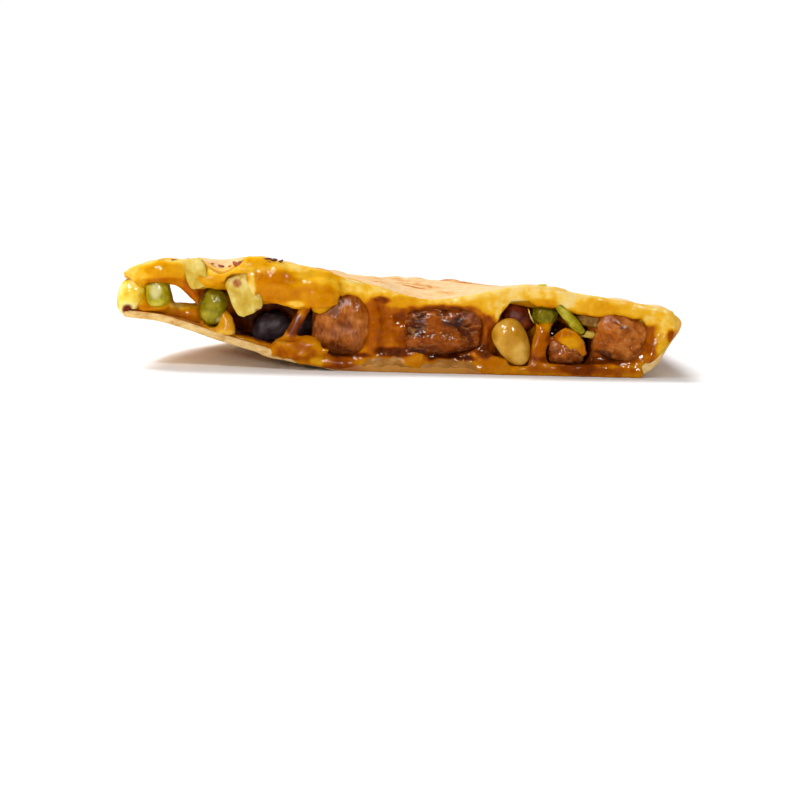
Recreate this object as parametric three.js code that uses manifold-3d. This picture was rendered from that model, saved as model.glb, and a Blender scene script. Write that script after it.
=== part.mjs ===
// One wedge of a chicken quesadilla, cut from a folded ten-inch flour tortilla.
//
// The tortilla was filled, folded in half, toasted and cut in two, so the wedge is a quarter disc:
// its corner stands at the right-hand end of the cut, the fold runs back from that corner and the
// round rim joins the two. The cut looks towards -Y. Melted cheese hangs over it and holds chicken,
// sweetcorn, beans, green pepper and onion. The left-hand end curls up off the surface and gapes.
// Millimetres, +Z up, resting on Z = 0.
import * as THREE from "three";
import { mergeVertices } from "three/addons/utils/BufferGeometryUtils.js";
import Module from "manifold-3d";

const wasm = await Module();
wasm.setup();
const { degToRad, lerp, smoothstep, clamp } = THREE.MathUtils;

// ---------------------------------------------------------------- driving dimensions

const RADIUS = 125; // of the tortilla, once folded
const SHEET = 1.7; // thickness of the tortilla
const GAP = 0.3; // clearance between neighbouring pieces
const POCKET_SLACK = 0.09; // how much wider the cheese's pockets are, as a share of a piece
const FOLD_X = 63.4; // outermost line of the fold
const RIM_DEPTH = 7; // height of the rim where it is pressed together
const GAPE = 4.3; // extra height of the rim at the gaping left-hand end
const CURL_ENDS = 60; // degrees from the cut at which the left-hand end's curl has died out
const CROWN_SINKS = 0.07; // how much the top sinks for each millimetre of depth
const CUT_BLENDS = 34; // depth over which the cut's outline passes into the crown
const DROOP = { at: -40.4, halfWidth: 3.4, by: 2.2, depth: 5 }; // where the cut's lip curls down

// Outer faces of the two sheets along the cut, as [x, z].
const TOP_EDGE = [
  [-62, 21.6],
  [-58, 23.4],
  [-54.7, 24.2],
  [-50, 24.4],
  [-45.5, 24.7],
  [-40.6, 24.6],
  [-35.2, 25.3],
  [-31, 25.2],
  [-26.3, 24.2],
  [-18.3, 22.7],
  [-12.5, 21],
  [-4.5, 19.1],
  [1.2, 17.4],
  [6.9, 16.6],
  [13.7, 17.2],
  [20.5, 18.8],
  [28.4, 20.3],
  [34.1, 20],
  [40, 18.7],
  [47.8, 17.6],
  [56.9, 16.3],
  [63.4, 15],
];
const BOTTOM_EDGE = [
  [-62, 11.1],
  [-54.4, 10.3],
  [-48.2, 8.6],
  [-41.3, 6.4],
  [-33.8, 4.3],
  [-25.7, 2.1],
  [-18, 0.8],
  [-8.6, 0],
  [63.4, 0],
];
// Height of the top over the filling just behind the cut, as [x, z].
const CROWN = [
  [-62, 14],
  [-45, 18.5],
  [-30, 21.5],
  [-12, 21.6],
  [-2, 21.5],
  [6, 21.2],
  [14, 21],
  [22, 20.4],
  [28, 19.6],
  [34, 18.6],
  [40, 17.6],
  [48, 16.6],
  [57, 15.3],
  [63.4, 14],
];

// The fold: its outermost line sinks towards the back, and its two flanks get rounder.
const FOLD = {
  front: { z: 12.5, topWidth: 4, bottomWidth: 9.5, bottomRound: 1.35 },
  back: { z: 4.6, topWidth: 5, bottomWidth: 5, bottomRound: 2 },
  sinksOver: 85,
};

// The rim isn't cut true: each sheet runs a little past the radius and back again.
const RIM_WAVES = {
  bottom: { by: 0.005, turns: 5, from: 1 },
  top: { by: 0.007, turns: 7, from: 2 },
};
// The top falls from the crown to the rim between these shares of the radius.
const FALL = { from: 0.62, to: 0.99 };
// Ripples: of the bottom rim where it lifts off the surface, of the top rim, and of the crown.
const RIM_LIFT = { from: 0.9, by: 1.2, ripple: 0.5, turns: 14 };
const RIM_RIPPLE = { by: 0.5, turns: 11 };
const LUMPS = { by: 0.5, size: 6.5, seed: 4 };

// How finely the folded sheet and the core of the filling are divided, across and back.
const SHEET_GRID = { bottom: 11, bottomFlank: 4, topFlank: 3, top: 22 };
const CORE_GRID = { bottom: 8, bottomFlank: 2, topFlank: 2, top: 14 };
const STATIONS = 16;

// ---------------------------------------------------------------- small helpers

// A smooth curve through [x, value] knots, flat beyond both ends.
function through(knots) {
  const slope = (i) => {
    const [a, b] = [knots[Math.max(i - 1, 0)], knots[Math.min(i + 1, knots.length - 1)]];
    return (b[1] - a[1]) / (b[0] - a[0]);
  };
  return (x) => {
    const at = clamp(x, knots[0][0], knots.at(-1)[0]);
    const i = knots.slice(0, -1).findLastIndex((knot) => knot[0] <= at);
    const [[x0, low], [x1, high]] = [knots[i], knots[i + 1]];
    const t = (at - x0) / (x1 - x0);
    const bow = t * (1 - t) ** 2 * slope(i) - t ** 2 * (1 - t) * slope(i + 1);
    return lerp(low, high, t ** 2 * (3 - 2 * t)) + (x1 - x0) * bow;
  };
}

// Seeded random numbers from 0 to 1.
function randomFrom(seed) {
  let state = seed;
  return () => {
    state = (state * 1664525 + 1013904223) % 4294967296;
    return state / 4294967296;
  };
}

// A gentle, repeatable ripple from -1 to 1.
function ripple(x, y, z, seed) {
  return (
    (Math.sin(1.7 * x + 0.9 * y + 2.1 * seed) +
      Math.sin(1.3 * y - 1.1 * z + 3.7 * seed) +
      Math.sin(1.9 * z + 0.7 * x + 5.3 * seed)) /
    3
  );
}

// ---------------------------------------------------------------- closed meshes and solids

// A solid from points and triangles that already close.
function solidFrom(points, triangles) {
  const geometry = new THREE.BufferGeometry().setFromPoints(points).setIndex(triangles);
  return solidOf(geometry);
}

function solidOf(geometry) {
  const bare = geometry.clone();
  bare.deleteAttribute("normal");
  bare.deleteAttribute("uv");
  const merged = mergeVertices(bare, 1e-4);
  const mesh = new wasm.Mesh({
    numProp: 3,
    vertProperties: new Float32Array(merged.attributes.position.array),
    triVerts: new Uint32Array(merged.index.array),
  });
  const solid = new wasm.Manifold(mesh);
  if (solid.volume() > 0) return solid;
  for (let i = 0; i < mesh.triVerts.length; i += 3) {
    [mesh.triVerts[i], mesh.triVerts[i + 1]] = [mesh.triVerts[i + 1], mesh.triVerts[i]];
  }
  return new wasm.Manifold(mesh);
}

// A closed loft through rings of the same number of points. Each end is closed by strips from the
// ring's first half to its second, so a ring may double back, as the folded sheet's does.
function loft(rings) {
  const n = rings[0].length;
  const triangles = [];
  const at = (ring, i) => ring * n + (i % n);
  for (let r = 0; r + 1 < rings.length; r++) {
    for (let i = 0; i < n; i++) {
      triangles.push(at(r, i), at(r, i + 1), at(r + 1, i + 1));
      triangles.push(at(r, i), at(r + 1, i + 1), at(r + 1, i));
    }
  }
  for (const [ring, turned] of [
    [0, true],
    [rings.length - 1, false],
  ]) {
    for (let i = 0; i < n / 2 - 1; i++) {
      const quad = [at(ring, i), at(ring, i + 1), at(ring, n - 2 - i), at(ring, n - 1 - i)];
      if (turned) quad.reverse();
      triangles.push(quad[0], quad[1], quad[2]);
      if (quad[0] !== quad[3] && quad[2] !== quad[3]) triangles.push(quad[0], quad[2], quad[3]);
    }
  }
  return solidFrom(rings.flat(), triangles);
}

function largest(solid) {
  const bodies = solid.decompose();
  return bodies.sort((a, b) => b.volume() - a.volume())[0];
}

function geometryOf(solid) {
  const mesh = solid.getMesh();
  const positions = new Float32Array(mesh.numVert * 3);
  for (let i = 0; i < mesh.numVert; i++) {
    positions.set(mesh.vertProperties.subarray(i * mesh.numProp, i * mesh.numProp + 3), i * 3);
  }
  const geometry = new THREE.BufferGeometry();
  geometry.setAttribute("position", new THREE.BufferAttribute(positions, 3));
  geometry.setIndex(new THREE.BufferAttribute(mesh.triVerts, 1));
  geometry.computeVertexNormals();
  return geometry;
}

// ---------------------------------------------------------------- the tortilla's two sheets

const topEdge = through(TOP_EDGE);
const crown = through(CROWN);
const bottomEdge = through(BOTTOM_EDGE);

// How far a point is from the corner, as a share of the radius, and its angle from the cut.
function polar(x, y) {
  const away = FOLD_X - x;
  return { reach: Math.hypot(away, y) / RADIUS, angle: Math.atan2(Math.max(y, 0), away) };
}

// Underside of the bottom sheet: flat, but curling up towards the left-hand end and a little
// along the rim.
function bottomAt(x, y) {
  const { reach, angle } = polar(x, y);
  const curl = bottomEdge(x) * (1 - smoothstep(angle, degToRad(5), degToRad(CURL_ENDS)));
  const share = smoothstep(reach, RIM_LIFT.from, 1) * smoothstep(angle, degToRad(20), degToRad(50));
  return curl + RIM_LIFT.by * share * (1 + RIM_LIFT.ripple * Math.sin(RIM_LIFT.turns * angle));
}

// Upper face of the top sheet: it follows the cut's outline in front and rises softly over the
// filling behind it.
function topAt(x, y) {
  const { reach, angle } = polar(x, y);
  const gape = GAPE * (1 - smoothstep(angle, 0, degToRad(CURL_ENDS)));
  const rippled = smoothstep(angle, degToRad(20), degToRad(40));
  const rim = RIM_DEPTH + gape + RIM_RIPPLE.by * Math.sin(RIM_RIPPLE.turns * angle) * rippled;
  const lumps = LUMPS.by * ripple(x / LUMPS.size, y / LUMPS.size, 0, LUMPS.seed);
  const middle = crown(x) - CROWN_SINKS * y + lumps * smoothstep(y, 6, 20);
  const dome = bottomAt(x, y) + lerp(middle, rim, smoothstep(reach, FALL.from, FALL.to));
  const beside = (x - DROOP.at) / DROOP.halfWidth;
  const droop = DROOP.by * Math.exp(-(beside ** 2)) * (1 - smoothstep(y, 0, DROOP.depth));
  return lerp(topEdge(x), dome, smoothstep(y, 1, CUT_BLENDS)) - droop;
}

// A flank of the fold: 0 at its outermost line, 1 where it runs into the flat sheet.
const flank = (share, round) => (1 - (1 - clamp(share, 0, 1)) ** round) ** (1 / round);

// Outer face of the folded tortilla across the depth y, from the bottom rim round the fold to the
// top rim. `share` ends it before the rim.
function outline(y, grid, share = 1) {
  const back = smoothstep(y, 0, FOLD.sinksOver);
  const mix = (name) => lerp(FOLD.front[name], FOLD.back[name], back);
  const reach = ({ by, turns, from }) => {
    const radius = RADIUS * share * (1 + by * Math.sin(turns * Math.asin(y / RADIUS) + from));
    return Math.sqrt(Math.max(radius ** 2 - y * y, 16));
  };
  const [bottomReach, topReach] = [reach(RIM_WAVES.bottom), reach(RIM_WAVES.top)];
  const topWidth = Math.min(mix("topWidth"), 0.6 * topReach);
  const bottomWidth = Math.min(mix("bottomWidth"), 0.6 * bottomReach);
  const points = [];
  const add = (away, bottomSide) => {
    const x = FOLD_X - away;
    const z = bottomSide
      ? lerp(mix("z"), bottomAt(x, y), flank(away / bottomWidth, mix("bottomRound")))
      : lerp(mix("z"), topAt(x, y), flank(away / topWidth, 2));
    points.push(new THREE.Vector3(x, y, z));
  };
  for (let i = 0; i < grid.bottom; i++) {
    add(lerp(bottomReach, bottomWidth, i / grid.bottom), true);
  }
  for (let i = 0; i < grid.bottomFlank; i++) {
    add(bottomWidth * (1 - Math.sin((i / grid.bottomFlank) * (Math.PI / 2))), true);
  }
  for (let i = 0; i < grid.topFlank; i++) {
    add(topWidth * (1 - Math.cos((i / grid.topFlank) * (Math.PI / 2))), false);
  }
  for (let i = 0; i <= grid.top; i++) add(lerp(topWidth, topReach, i / grid.top), false);
  return points;
}

// Depths of the cross-sections, closer together towards the back where the rim turns in.
const depthAt = (station) => RADIUS * Math.sin(1.53 * (station / STATIONS) ** 1.15);

// The same outline moved inwards, square to the sheet, by `inset`.
function inner(points, inset) {
  return points.map((p, i) => {
    const along = points[Math.min(i + 1, points.length - 1)]
      .clone()
      .sub(points[Math.max(i - 1, 0)]);
    const inward = new THREE.Vector3(-along.z, 0, along.x).normalize();
    return p.clone().addScaledVector(inward, inset);
  });
}

// The tortilla as one closed sheet. `grow` thickens it all round, which leaves the clearance when
// it is cut out of its neighbours.
function tortilla(grow = 0) {
  const rings = [];
  for (let j = 0; j <= STATIONS; j++) {
    const points = outline(depthAt(j), SHEET_GRID, 1 + grow / RADIUS);
    const outside = inner(points, -grow);
    const inside = inner(points, SHEET + grow);
    const ring = [...outside, ...inside.reverse()];
    if (j === 0) ring.forEach((p) => (p.y -= grow));
    if (j === STATIONS) ring.forEach((p) => (p.y += grow));
    rings.push(ring);
  }
  return loft(rings);
}

// ---------------------------------------------------------------- pieces of the filling

// A lump: a sphere squared towards a box, tapered, bent and rippled, with its half sizes, place
// and turn in degrees.
function lump(piece, grow = 0) {
  const { at, half, turn = [0, 0, 0], square = 2, rough = 0, taper = 0, bend = 0 } = piece;
  const { detail = half[0] + half[1] + half[2] < PLAIN_BELOW ? 1 : 2, seed = 1 } = piece;
  const geometry = new THREE.IcosahedronGeometry(1, detail);
  const place = geometry.attributes.position;
  const p = new THREE.Vector3();
  for (let i = 0; i < place.count; i++) {
    p.fromBufferAttribute(place, i);
    const norm = (Math.abs(p.x) ** square + Math.abs(p.y) ** square + Math.abs(p.z) ** square)
      ** (1 / square);
    const swell = (1 + rough * ripple(2.2 * p.x, 2.2 * p.y, 2.2 * p.z, seed)) / norm;
    p.multiplyScalar(swell);
    const height = p.z;
    p.multiply(new THREE.Vector3(half[0] + grow, half[1] + grow, half[2] + grow));
    p.x = p.x * (1 + taper * height) + bend * half[0] * (height * height - 0.4);
    p.y *= 1 + 0.5 * taper * height;
    place.setXYZ(i, p.x, p.y, p.z);
  }
  geometry.applyMatrix4(
    new THREE.Matrix4().compose(
      new THREE.Vector3(...at),
      new THREE.Quaternion().setFromEuler(new THREE.Euler(...turn.map(degToRad))),
      new THREE.Vector3(1, 1, 1),
    ),
  );
  return solidOf(geometry);
}

// Pieces smaller than this, in half sizes added up, are made with fewer facets.
const PLAIN_BELOW = 9.8;

const KINDS = {
  meat: { square: 2.6, rough: 0.1 },
  corn: { square: 2.3, taper: 0.22 },
  bean: { square: 2.1, bend: 0.22 },
  pepper: { square: 3.4, rough: 0.06 },
  onion: { square: 3.6, rough: 0.04 },
};

// What shows in the cut, in the order in which a piece gives way to those above it.
const CUT_PIECES = {
  corn_mid: { kind: "corn", at: [25.7, 0.6, 7.3], half: [3.8, 2.9, 5.7], turn: [4, -30, 0] },
  corn_lip: { kind: "corn", at: [-17.7, 0, 17], half: [3.5, 2.9, 4.3], turn: [0, 12, 0] },
  corn_end: { kind: "corn", at: [-61.3, 1.8, 15.5], half: [3, 3.2, 4.4], turn: [0, 22, 0] },
  onion_slab: { kind: "onion", at: [-35.2, -1.6, 17.2], half: [3.6, 0.8, 5], turn: [-6, -24, 4] },
  onion_top: { kind: "onion", at: [-46.2, -1.3, 21.4], half: [2.5, 0.9, 3.5], turn: [0, -16, 0] },
  meat_left: { kind: "meat", at: [-13, 5.6, 10.6], half: [7, 7, 8], seed: 3 },
  meat_char: { kind: "meat", at: [10, 5.2, 9.4], half: [9.7, 7, 6], turn: [0, -3, 4], seed: 8 },
  meat_fold: { kind: "meat", at: [50.3, 6.2, 8.6], half: [7, 7, 6.5], turn: [0, 20, 0], seed: 5 },
  meat_small: { kind: "meat", at: [38, 4.8, 5.4], half: [4.4, 5, 3.7], seed: 11 },
  meat_gold: { kind: "meat", at: [-3, 6.2, 10.3], half: [4.2, 6, 6.4], seed: 14 },
  pepper_end: { kind: "pepper", at: [-55, 2.6, 16.3], half: [3, 3.6, 3.2], turn: [0, -14, 0] },
  pepper_cut: { kind: "pepper", at: [-42.5, 3.6, 13.6], half: [3, 4.2, 4.1], turn: [0, 12, 0] },
  pepper_curl: { kind: "pepper", at: [38.6, 1.2, 13], half: [1.2, 2, 4.5], turn: [0, -44, 0] },
  pepper_back: { kind: "pepper", at: [33, 5, 13.4], half: [3.2, 4, 2.5], turn: [0, 4, 0] },
  bean_red: { kind: "bean", at: [26.8, 6.2, 12.6], half: [3.5, 4.2, 4.3], turn: [0, -52, 0] },
  onion_back: { kind: "onion", at: [43.4, 4.2, 12.4], half: [3.6, 3.2, 1.5], turn: [0, 8, 0] },
  onion_chip: { kind: "onion", at: [42.6, 2.4, 9.4], half: [2, 1.6, 0.8], turn: [0, 6, 0] },
  bean_black: { kind: "bean", at: [-29.4, 8, 8.7], half: [3.4, 3.6, 4.7], turn: [0, 78, 0] },
  bean_rear: { kind: "bean", at: [-20.6, 11, 9], half: [3.2, 3.4, 4.6], turn: [0, 60, 30] },
};

// What shows along the round rim: a row of pieces spaced by angle, laid flat between the sheets.
const RIM_ROW = {
  kinds: ["corn", "pepper", "meat", "corn", "onion", "bean", "corn"],
  from: 34,
  to: 79,
  reach: 0.945,
  seed: 21,
};
const RIM_HALF = {
  corn: [3.6, 4.4, 2.6],
  pepper: [3.4, 3, 2.2],
  meat: [6, 4.6, 4.4],
  onion: [4, 2.6, 1.4],
  bean: [4.6, 3, 2.8],
};

function rimPieces() {
  const random = randomFrom(RIM_ROW.seed);
  const pieces = {};
  RIM_ROW.kinds.forEach((kind, i) => {
    const angle = degToRad(lerp(RIM_ROW.from, RIM_ROW.to, i / (RIM_ROW.kinds.length - 1)));
    const reach = RADIUS * (RIM_ROW.reach + 0.03 * (random() - 0.5));
    const [x, y] = [FOLD_X - reach * Math.cos(angle), reach * Math.sin(angle)];
    const z = (bottomAt(x, y) + topAt(x, y)) / 2;
    const turn = [8 * (random() - 0.5), 8 * (random() - 0.5), -90 + 60 * random()];
    const half = RIM_HALF[kind].map((size) => size * (0.92 + 0.16 * random()));
    pieces[`rim_${kind}_${i + 1}`] = { kind, at: [x, y, z], half, turn, seed: i + 30 };
  });
  return pieces;
}

// ---------------------------------------------------------------- melted cheese

// Lower edge of the cheese that hangs in the cut, as [x, z].
const CHEESE_EDGE = [
  [-60.6, 20],
  [-58, 19.4],
  [-54.6, 18.8],
  [-50, 18.5],
  [-47.5, 16.8],
  [-44.3, 17.6],
  [-40, 17.6],
  [-33.3, 14.3],
  [-27.2, 14.6],
  [-21.2, 13.9],
  [-17, 14],
  [-13.6, 17.1],
  [-9.1, 18.4],
  [-4, 16.2],
  [1.3, 14.2],
  [6, 14.2],
  [16, 15.4],
  [27.4, 16.6],
  [36.5, 15.4],
  [44.5, 13.6],
  [50.1, 14.8],
  [56.5, 12.6],
];
// The band of cheese under the top sheet. Left of `coversUpTo` it also runs over the sheet's edge.
const LIP = { from: -60.6, to: 56.5, step: 3.6, front: -2.3, back: 11, sides: 8, coversUpTo: -14 };

// Cheese on the bottom sheet in the cut, as [x, height above the sheet].
const PUDDLE_EDGE = [
  [-30, 0.3],
  [-24, 1.6],
  [-17, 0.6],
  [4, 0.5],
  [15, 0.8],
  [20, 2],
  [30, 0.8],
  [44, 1],
  [55, 1.3],
];
const PUDDLE = { from: -30, to: 54.5, step: 5.6, front: -0.2, back: 11, sides: 6 };

const DRIPS = [
  { at: [-26.4, 1, 4.9], half: [2.8, 3, 2.5] },
  { at: [-21, 0.4, 5.4], half: [3.9, 3, 2.6] },
  { at: [4.2, -0.6, 3.3], half: [2.1, 1.7, 1.9] },
  { at: [-39.4, 3.4, 10.3], half: [3, 3.4, 3.2] },
  { at: [40.2, -0.1, 7.3], half: [2.6, 1.2, 2.3] },
  { at: [19, 0.8, 3.6], half: [3, 1.8, 1.6] },
];

// Strands, each from one [x, y, z] to another, with its thickness.
const STRANDS = [
  { from: [-20.8, 1.8, 14.6], to: [-25.6, 1.2, 5.5], radius: 0.8 },
  { from: [31.6, 2.2, 16], to: [31.8, 1, 1.8], radius: 1 },
  { from: [35.2, 1.8, 16.4], to: [39.4, 0.4, 7.8], radius: 0.7 },
  { from: [-47.6, 1.4, 18.5], to: [-45.4, 1.4, 14.4], radius: 0.9 },
];

// The core stops short of the gaping end of the rim, and reaches closer to its pressed part.
const CORE = { front: 9.5, back: 114, clearance: 0.7, gaping: 0.83, pressed: 0.955 };

// The cheese that binds the filling behind the cut, up to where the rim begins.
function core() {
  const depths = Array.from({ length: STATIONS }, (_, j) => depthAt(j));
  const between = depths.filter((y) => y > CORE.front + 4 && y < CORE.back - 4);
  const rings = [CORE.front, ...between, CORE.back].map((y) => {
    const share = lerp(CORE.gaping, CORE.pressed, smoothstep(y, 30, 90));
    return inner(outline(y, CORE_GRID, share), SHEET + CORE.clearance);
  });
  rings[0].forEach((p) => (p.y += 2 * ripple(p.x / 4, 0, p.z / 4, 6)));
  return loft(rings);
}

// A band of cheese along the cut: rings across it at even steps, each a rounded box from `low` to
// `high`.
function band({ from, to, step, back, sides }, front, low, high) {
  const rings = [];
  const count = Math.round((to - from) / step);
  for (let i = 0; i <= count; i++) {
    const x = lerp(from, to, i / count);
    const end = 0.35 + 0.65 * Math.sqrt(smoothstep(Math.min(i, count - i), 0, 2));
    const [z, tall] = [(low(x) + high(x)) / 2, (Math.max(high(x) - low(x), 0.6) / 2) * end];
    const [y, deep] = [(front(x) + back) / 2, (back - front(x)) / 2];
    rings.push(
      Array.from({ length: sides }, (_, k) => {
        const a = ((k + 0.5) / sides) * 2 * Math.PI;
        const [c, s] = [Math.cos(a), Math.sin(a)];
        const norm = (Math.abs(c) ** 3 + Math.abs(s) ** 3) ** (1 / 3);
        return new THREE.Vector3(x, y - (deep * c) / norm, z + (tall * s) / norm);
      }),
    );
  }
  return loft(rings);
}

function lip() {
  const edge = through(CHEESE_EDGE);
  const covers = (x) => 1 - smoothstep(x, LIP.coversUpTo - 3, LIP.coversUpTo + 3);
  const front = (x) => lerp(-0.2, LIP.front + 0.5 * Math.sin(x / 2.7), covers(x));
  const high = (x) => topEdge(x) - lerp(SHEET + GAP + 0.15, 0.5, covers(x));
  return band(LIP, front, edge, high);
}

function puddle() {
  const height = through(PUDDLE_EDGE);
  const floor = (x) => bottomEdge(x) + SHEET + GAP + 0.1;
  return band(PUDDLE, () => PUDDLE.front, floor, (x) => floor(x) + height(x));
}

function strand({ from, to, radius }) {
  const [a, b] = [new THREE.Vector3(...from), new THREE.Vector3(...to)];
  const sag = a.clone().lerp(b, 0.5).add(new THREE.Vector3(0, -0.4, 0));
  const path = new THREE.CatmullRomCurve3([a, sag, b]);
  const section = new THREE.Shape().absarc(0, 0, radius, 0, 2 * Math.PI);
  return solidOf(
    new THREE.ExtrudeGeometry(section, { extrudePath: path, steps: 4, curveSegments: 3 }),
  );
}

// ---------------------------------------------------------------- assembly

// Every piece gives way to the tortilla and to the pieces before it, and the cheese to all of
// them. Its pockets are plainer than the pieces and a little wider.
const solids = { tortilla: tortilla() };
const room = tortilla(GAP);
const placed = [];
let pockets = room;
for (const [name, piece] of Object.entries({ ...CUT_PIECES, ...rimPieces() })) {
  const shape = { ...KINDS[piece.kind], ...piece };
  solids[name] = largest(placed.reduce((rest, other) => rest.subtract(other), lump(shape)));
  solids[name] = largest(solids[name].subtract(room));
  placed.push(lump(shape, GAP));
  pockets = pockets.add(lump({ ...shape, detail: 1 }, GAP + POCKET_SLACK * Math.max(...shape.half)));
}
const cheeseParts = [core(), lip(), puddle(), ...DRIPS.map((drip) => lump(drip))];
cheeseParts.push(...STRANDS.map(strand));
solids.cheese = largest(cheeseParts.reduce((whole, next) => whole.add(next)).subtract(pockets));

const FINISHES = {
  tortilla: { color: 0xe9c993, roughness: 0.75 },
  cheese: { color: 0xe8920f, roughness: 0.35 },
  meat: { color: 0x8a451c, roughness: 0.45 },
  corn: { color: 0xe9b83a, roughness: 0.35 },
  bean: { color: 0x2a1a1a, roughness: 0.35 },
  pepper: { color: 0x7d9a1e, roughness: 0.3 },
  onion: { color: 0xd9c878, roughness: 0.3 },
};
const finishes = Object.fromEntries(
  Object.entries(FINISHES).map(([kind, look]) => [kind, new THREE.MeshStandardMaterial(look)]),
);

const wedge = new THREE.Group();
for (const [name, solid] of Object.entries(solids)) {
  const kind = Object.keys(FINISHES).find((k) => name.includes(k));
  const mesh = new THREE.Mesh(geometryOf(solid), finishes[kind]);
  mesh.name = name;
  wedge.add(mesh);
}

// The part's origin is the middle of its footprint, on the surface that it rests on.
const bounds = new THREE.Box3().setFromObject(wedge, true);
const middle = bounds.getCenter(new THREE.Vector3());
wedge.position.set(-middle.x, -middle.y, -bounds.min.z);
const quesadilla = new THREE.Group();
quesadilla.add(wedge);

export default quesadilla;
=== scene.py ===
import math

import bmesh
import bpy
import numpy as np
from mathutils import Euler, Matrix, Vector


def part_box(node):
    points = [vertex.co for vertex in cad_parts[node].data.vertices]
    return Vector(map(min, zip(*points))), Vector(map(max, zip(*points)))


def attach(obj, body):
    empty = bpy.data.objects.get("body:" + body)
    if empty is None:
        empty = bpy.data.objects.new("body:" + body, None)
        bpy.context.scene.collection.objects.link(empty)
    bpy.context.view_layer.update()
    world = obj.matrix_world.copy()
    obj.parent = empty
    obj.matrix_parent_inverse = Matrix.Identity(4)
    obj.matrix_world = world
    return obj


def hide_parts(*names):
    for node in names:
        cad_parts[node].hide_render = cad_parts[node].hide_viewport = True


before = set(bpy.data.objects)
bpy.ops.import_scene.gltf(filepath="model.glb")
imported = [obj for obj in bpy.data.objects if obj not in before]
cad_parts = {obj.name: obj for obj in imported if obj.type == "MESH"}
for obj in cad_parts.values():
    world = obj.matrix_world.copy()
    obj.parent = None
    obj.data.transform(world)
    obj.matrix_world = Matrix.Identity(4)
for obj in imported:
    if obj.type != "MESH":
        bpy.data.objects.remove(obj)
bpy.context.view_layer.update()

MM = 0.001

# ---------------------------------------------------------------- driving dimensions

RADIUS = 125  # of the folded tortilla
SHEET = 1.7  # thickness of the tortilla
TABLE_GAP = 0.01  # between the table and what rests on it
MOST_TRIANGLES = 190000  # in one piece
FOLD_X = 63.4  # outermost line of the fold
RIM_HEIGHT = 7  # of the pressed rim
RIM_LIFT = 1.2  # how far the bottom sheet's rim is off the table
LIFT_RIPPLE = 0.5  # share of the lift by which it ripples
RIM_RIPPLE = 0.5  # of the top sheet's rim
GAPE = 4.3  # extra height at the gaping left-hand end
GAPE_ENDS = 60  # angle from the cut, round the wedge's corner, where the rim is pressed shut
CROWN_FROM = 34  # depth at which the filling alone shapes the top
CROWN_SINKS = 0.07  # how much the top sinks for each millimetre of depth
LUMP_SIZE, LUMP_HEIGHT = 6.5, 0.5  # of the filling, through the top sheet
DROOP = {"at": -40.4, "half_width": 3.4, "by": 2.2, "depth": 5}  # where the cut's lip curls down

# The cut's left-to-right line and its foot are the zero of every place below.
SHEET_LOW, SHEET_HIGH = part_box("tortilla")
ORIGIN = np.array([SHEET_HIGH.x / MM - FOLD_X, SHEET_LOW.y / MM, 0.0])

# Outer faces of the two sheets along the cut, as (x, z).
TOP_EDGE = [
    (-62, 21.6), (-58, 23.4), (-54.7, 24.2), (-50, 24.4), (-45.5, 24.7), (-40.6, 24.6),
    (-35.2, 25.3), (-31, 25.2), (-26.3, 24.2), (-18.3, 22.7), (-12.5, 21), (-4.5, 19.1),
    (1.2, 17.4), (6.9, 16.6), (13.7, 17.2), (20.5, 18.8), (28.4, 20.3), (34.1, 20), (40, 18.7),
    (47.8, 17.6), (56.9, 16.3), (63.4, 15),
]
# Height of the top over the filling just behind the cut, as (x, z).
CROWN = [
    (-62, 14), (-45, 18.5), (-30, 21.5), (-12, 21.6), (-2, 21.5), (6, 21.2), (14, 21), (22, 20.4),
    (28, 19.6), (34, 18.6), (40, 17.6), (48, 16.6), (57, 15.3), (63.4, 14),
]
BOTTOM_EDGE = [
    (-62, 11.1), (-54.4, 10.3), (-48.2, 8.6), (-41.3, 6.4), (-33.8, 4.3), (-25.7, 2.1),
    (-18, 0.8), (-8.6, 0), (63.4, 0),
]
FOLD_FRONT = {"z": 12.5, "top_width": 4, "bottom_width": 9.5, "bottom_round": 1.35}
FOLD_BACK = {"z": 4.6, "top_width": 5, "bottom_width": 5, "bottom_round": 2}
FOLD_SINKS_OVER = 85  # depth over which the front fold becomes the back one
EDGE_ROWS = 5  # of the rounded strip round the sheet
EDGE_FLATNESS = 0.6  # below 1, the edge is more square than round
EDGE_STANDS = {"cut": 0.25, "rim": 0.6}  # how far the edge is rounded outwards
SOAKED_TO = 2.6  # depth to which cheese has soaked the top sheet at the cut
PALE_NEAR_CUT = (5, 26)  # depths between which the toasting grows to its full strength
# How the two sheets' rims wander from a circle: share of the radius, turns, start.
BOTTOM_WAVE = (0.005, 5, 1)
TOP_WAVE = (0.007, 7, 2)

# The border of a stain, as shares of its half size, and how far it wanders.
STAIN_BORDER = (0.65, 1.25)
STAIN_WANDER = 0.22
# Coordinates along a piece of filling are squeezed, so that its fibres are long.
FIBRE_STRETCH = (1.0, 1.0, 0.22)


# ---------------------------------------------------------------- small helpers


def smooth(value, low, high):
    """0 below low, 1 above high, and an easy curve between."""
    t = np.clip((np.asarray(value, float) - low) / (high - low), 0, 1)
    return t * t * (3 - 2 * t)


def mix(a, b, t):
    """What lies the share t of the way from a to b."""
    return a + (b - a) * t


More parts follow.
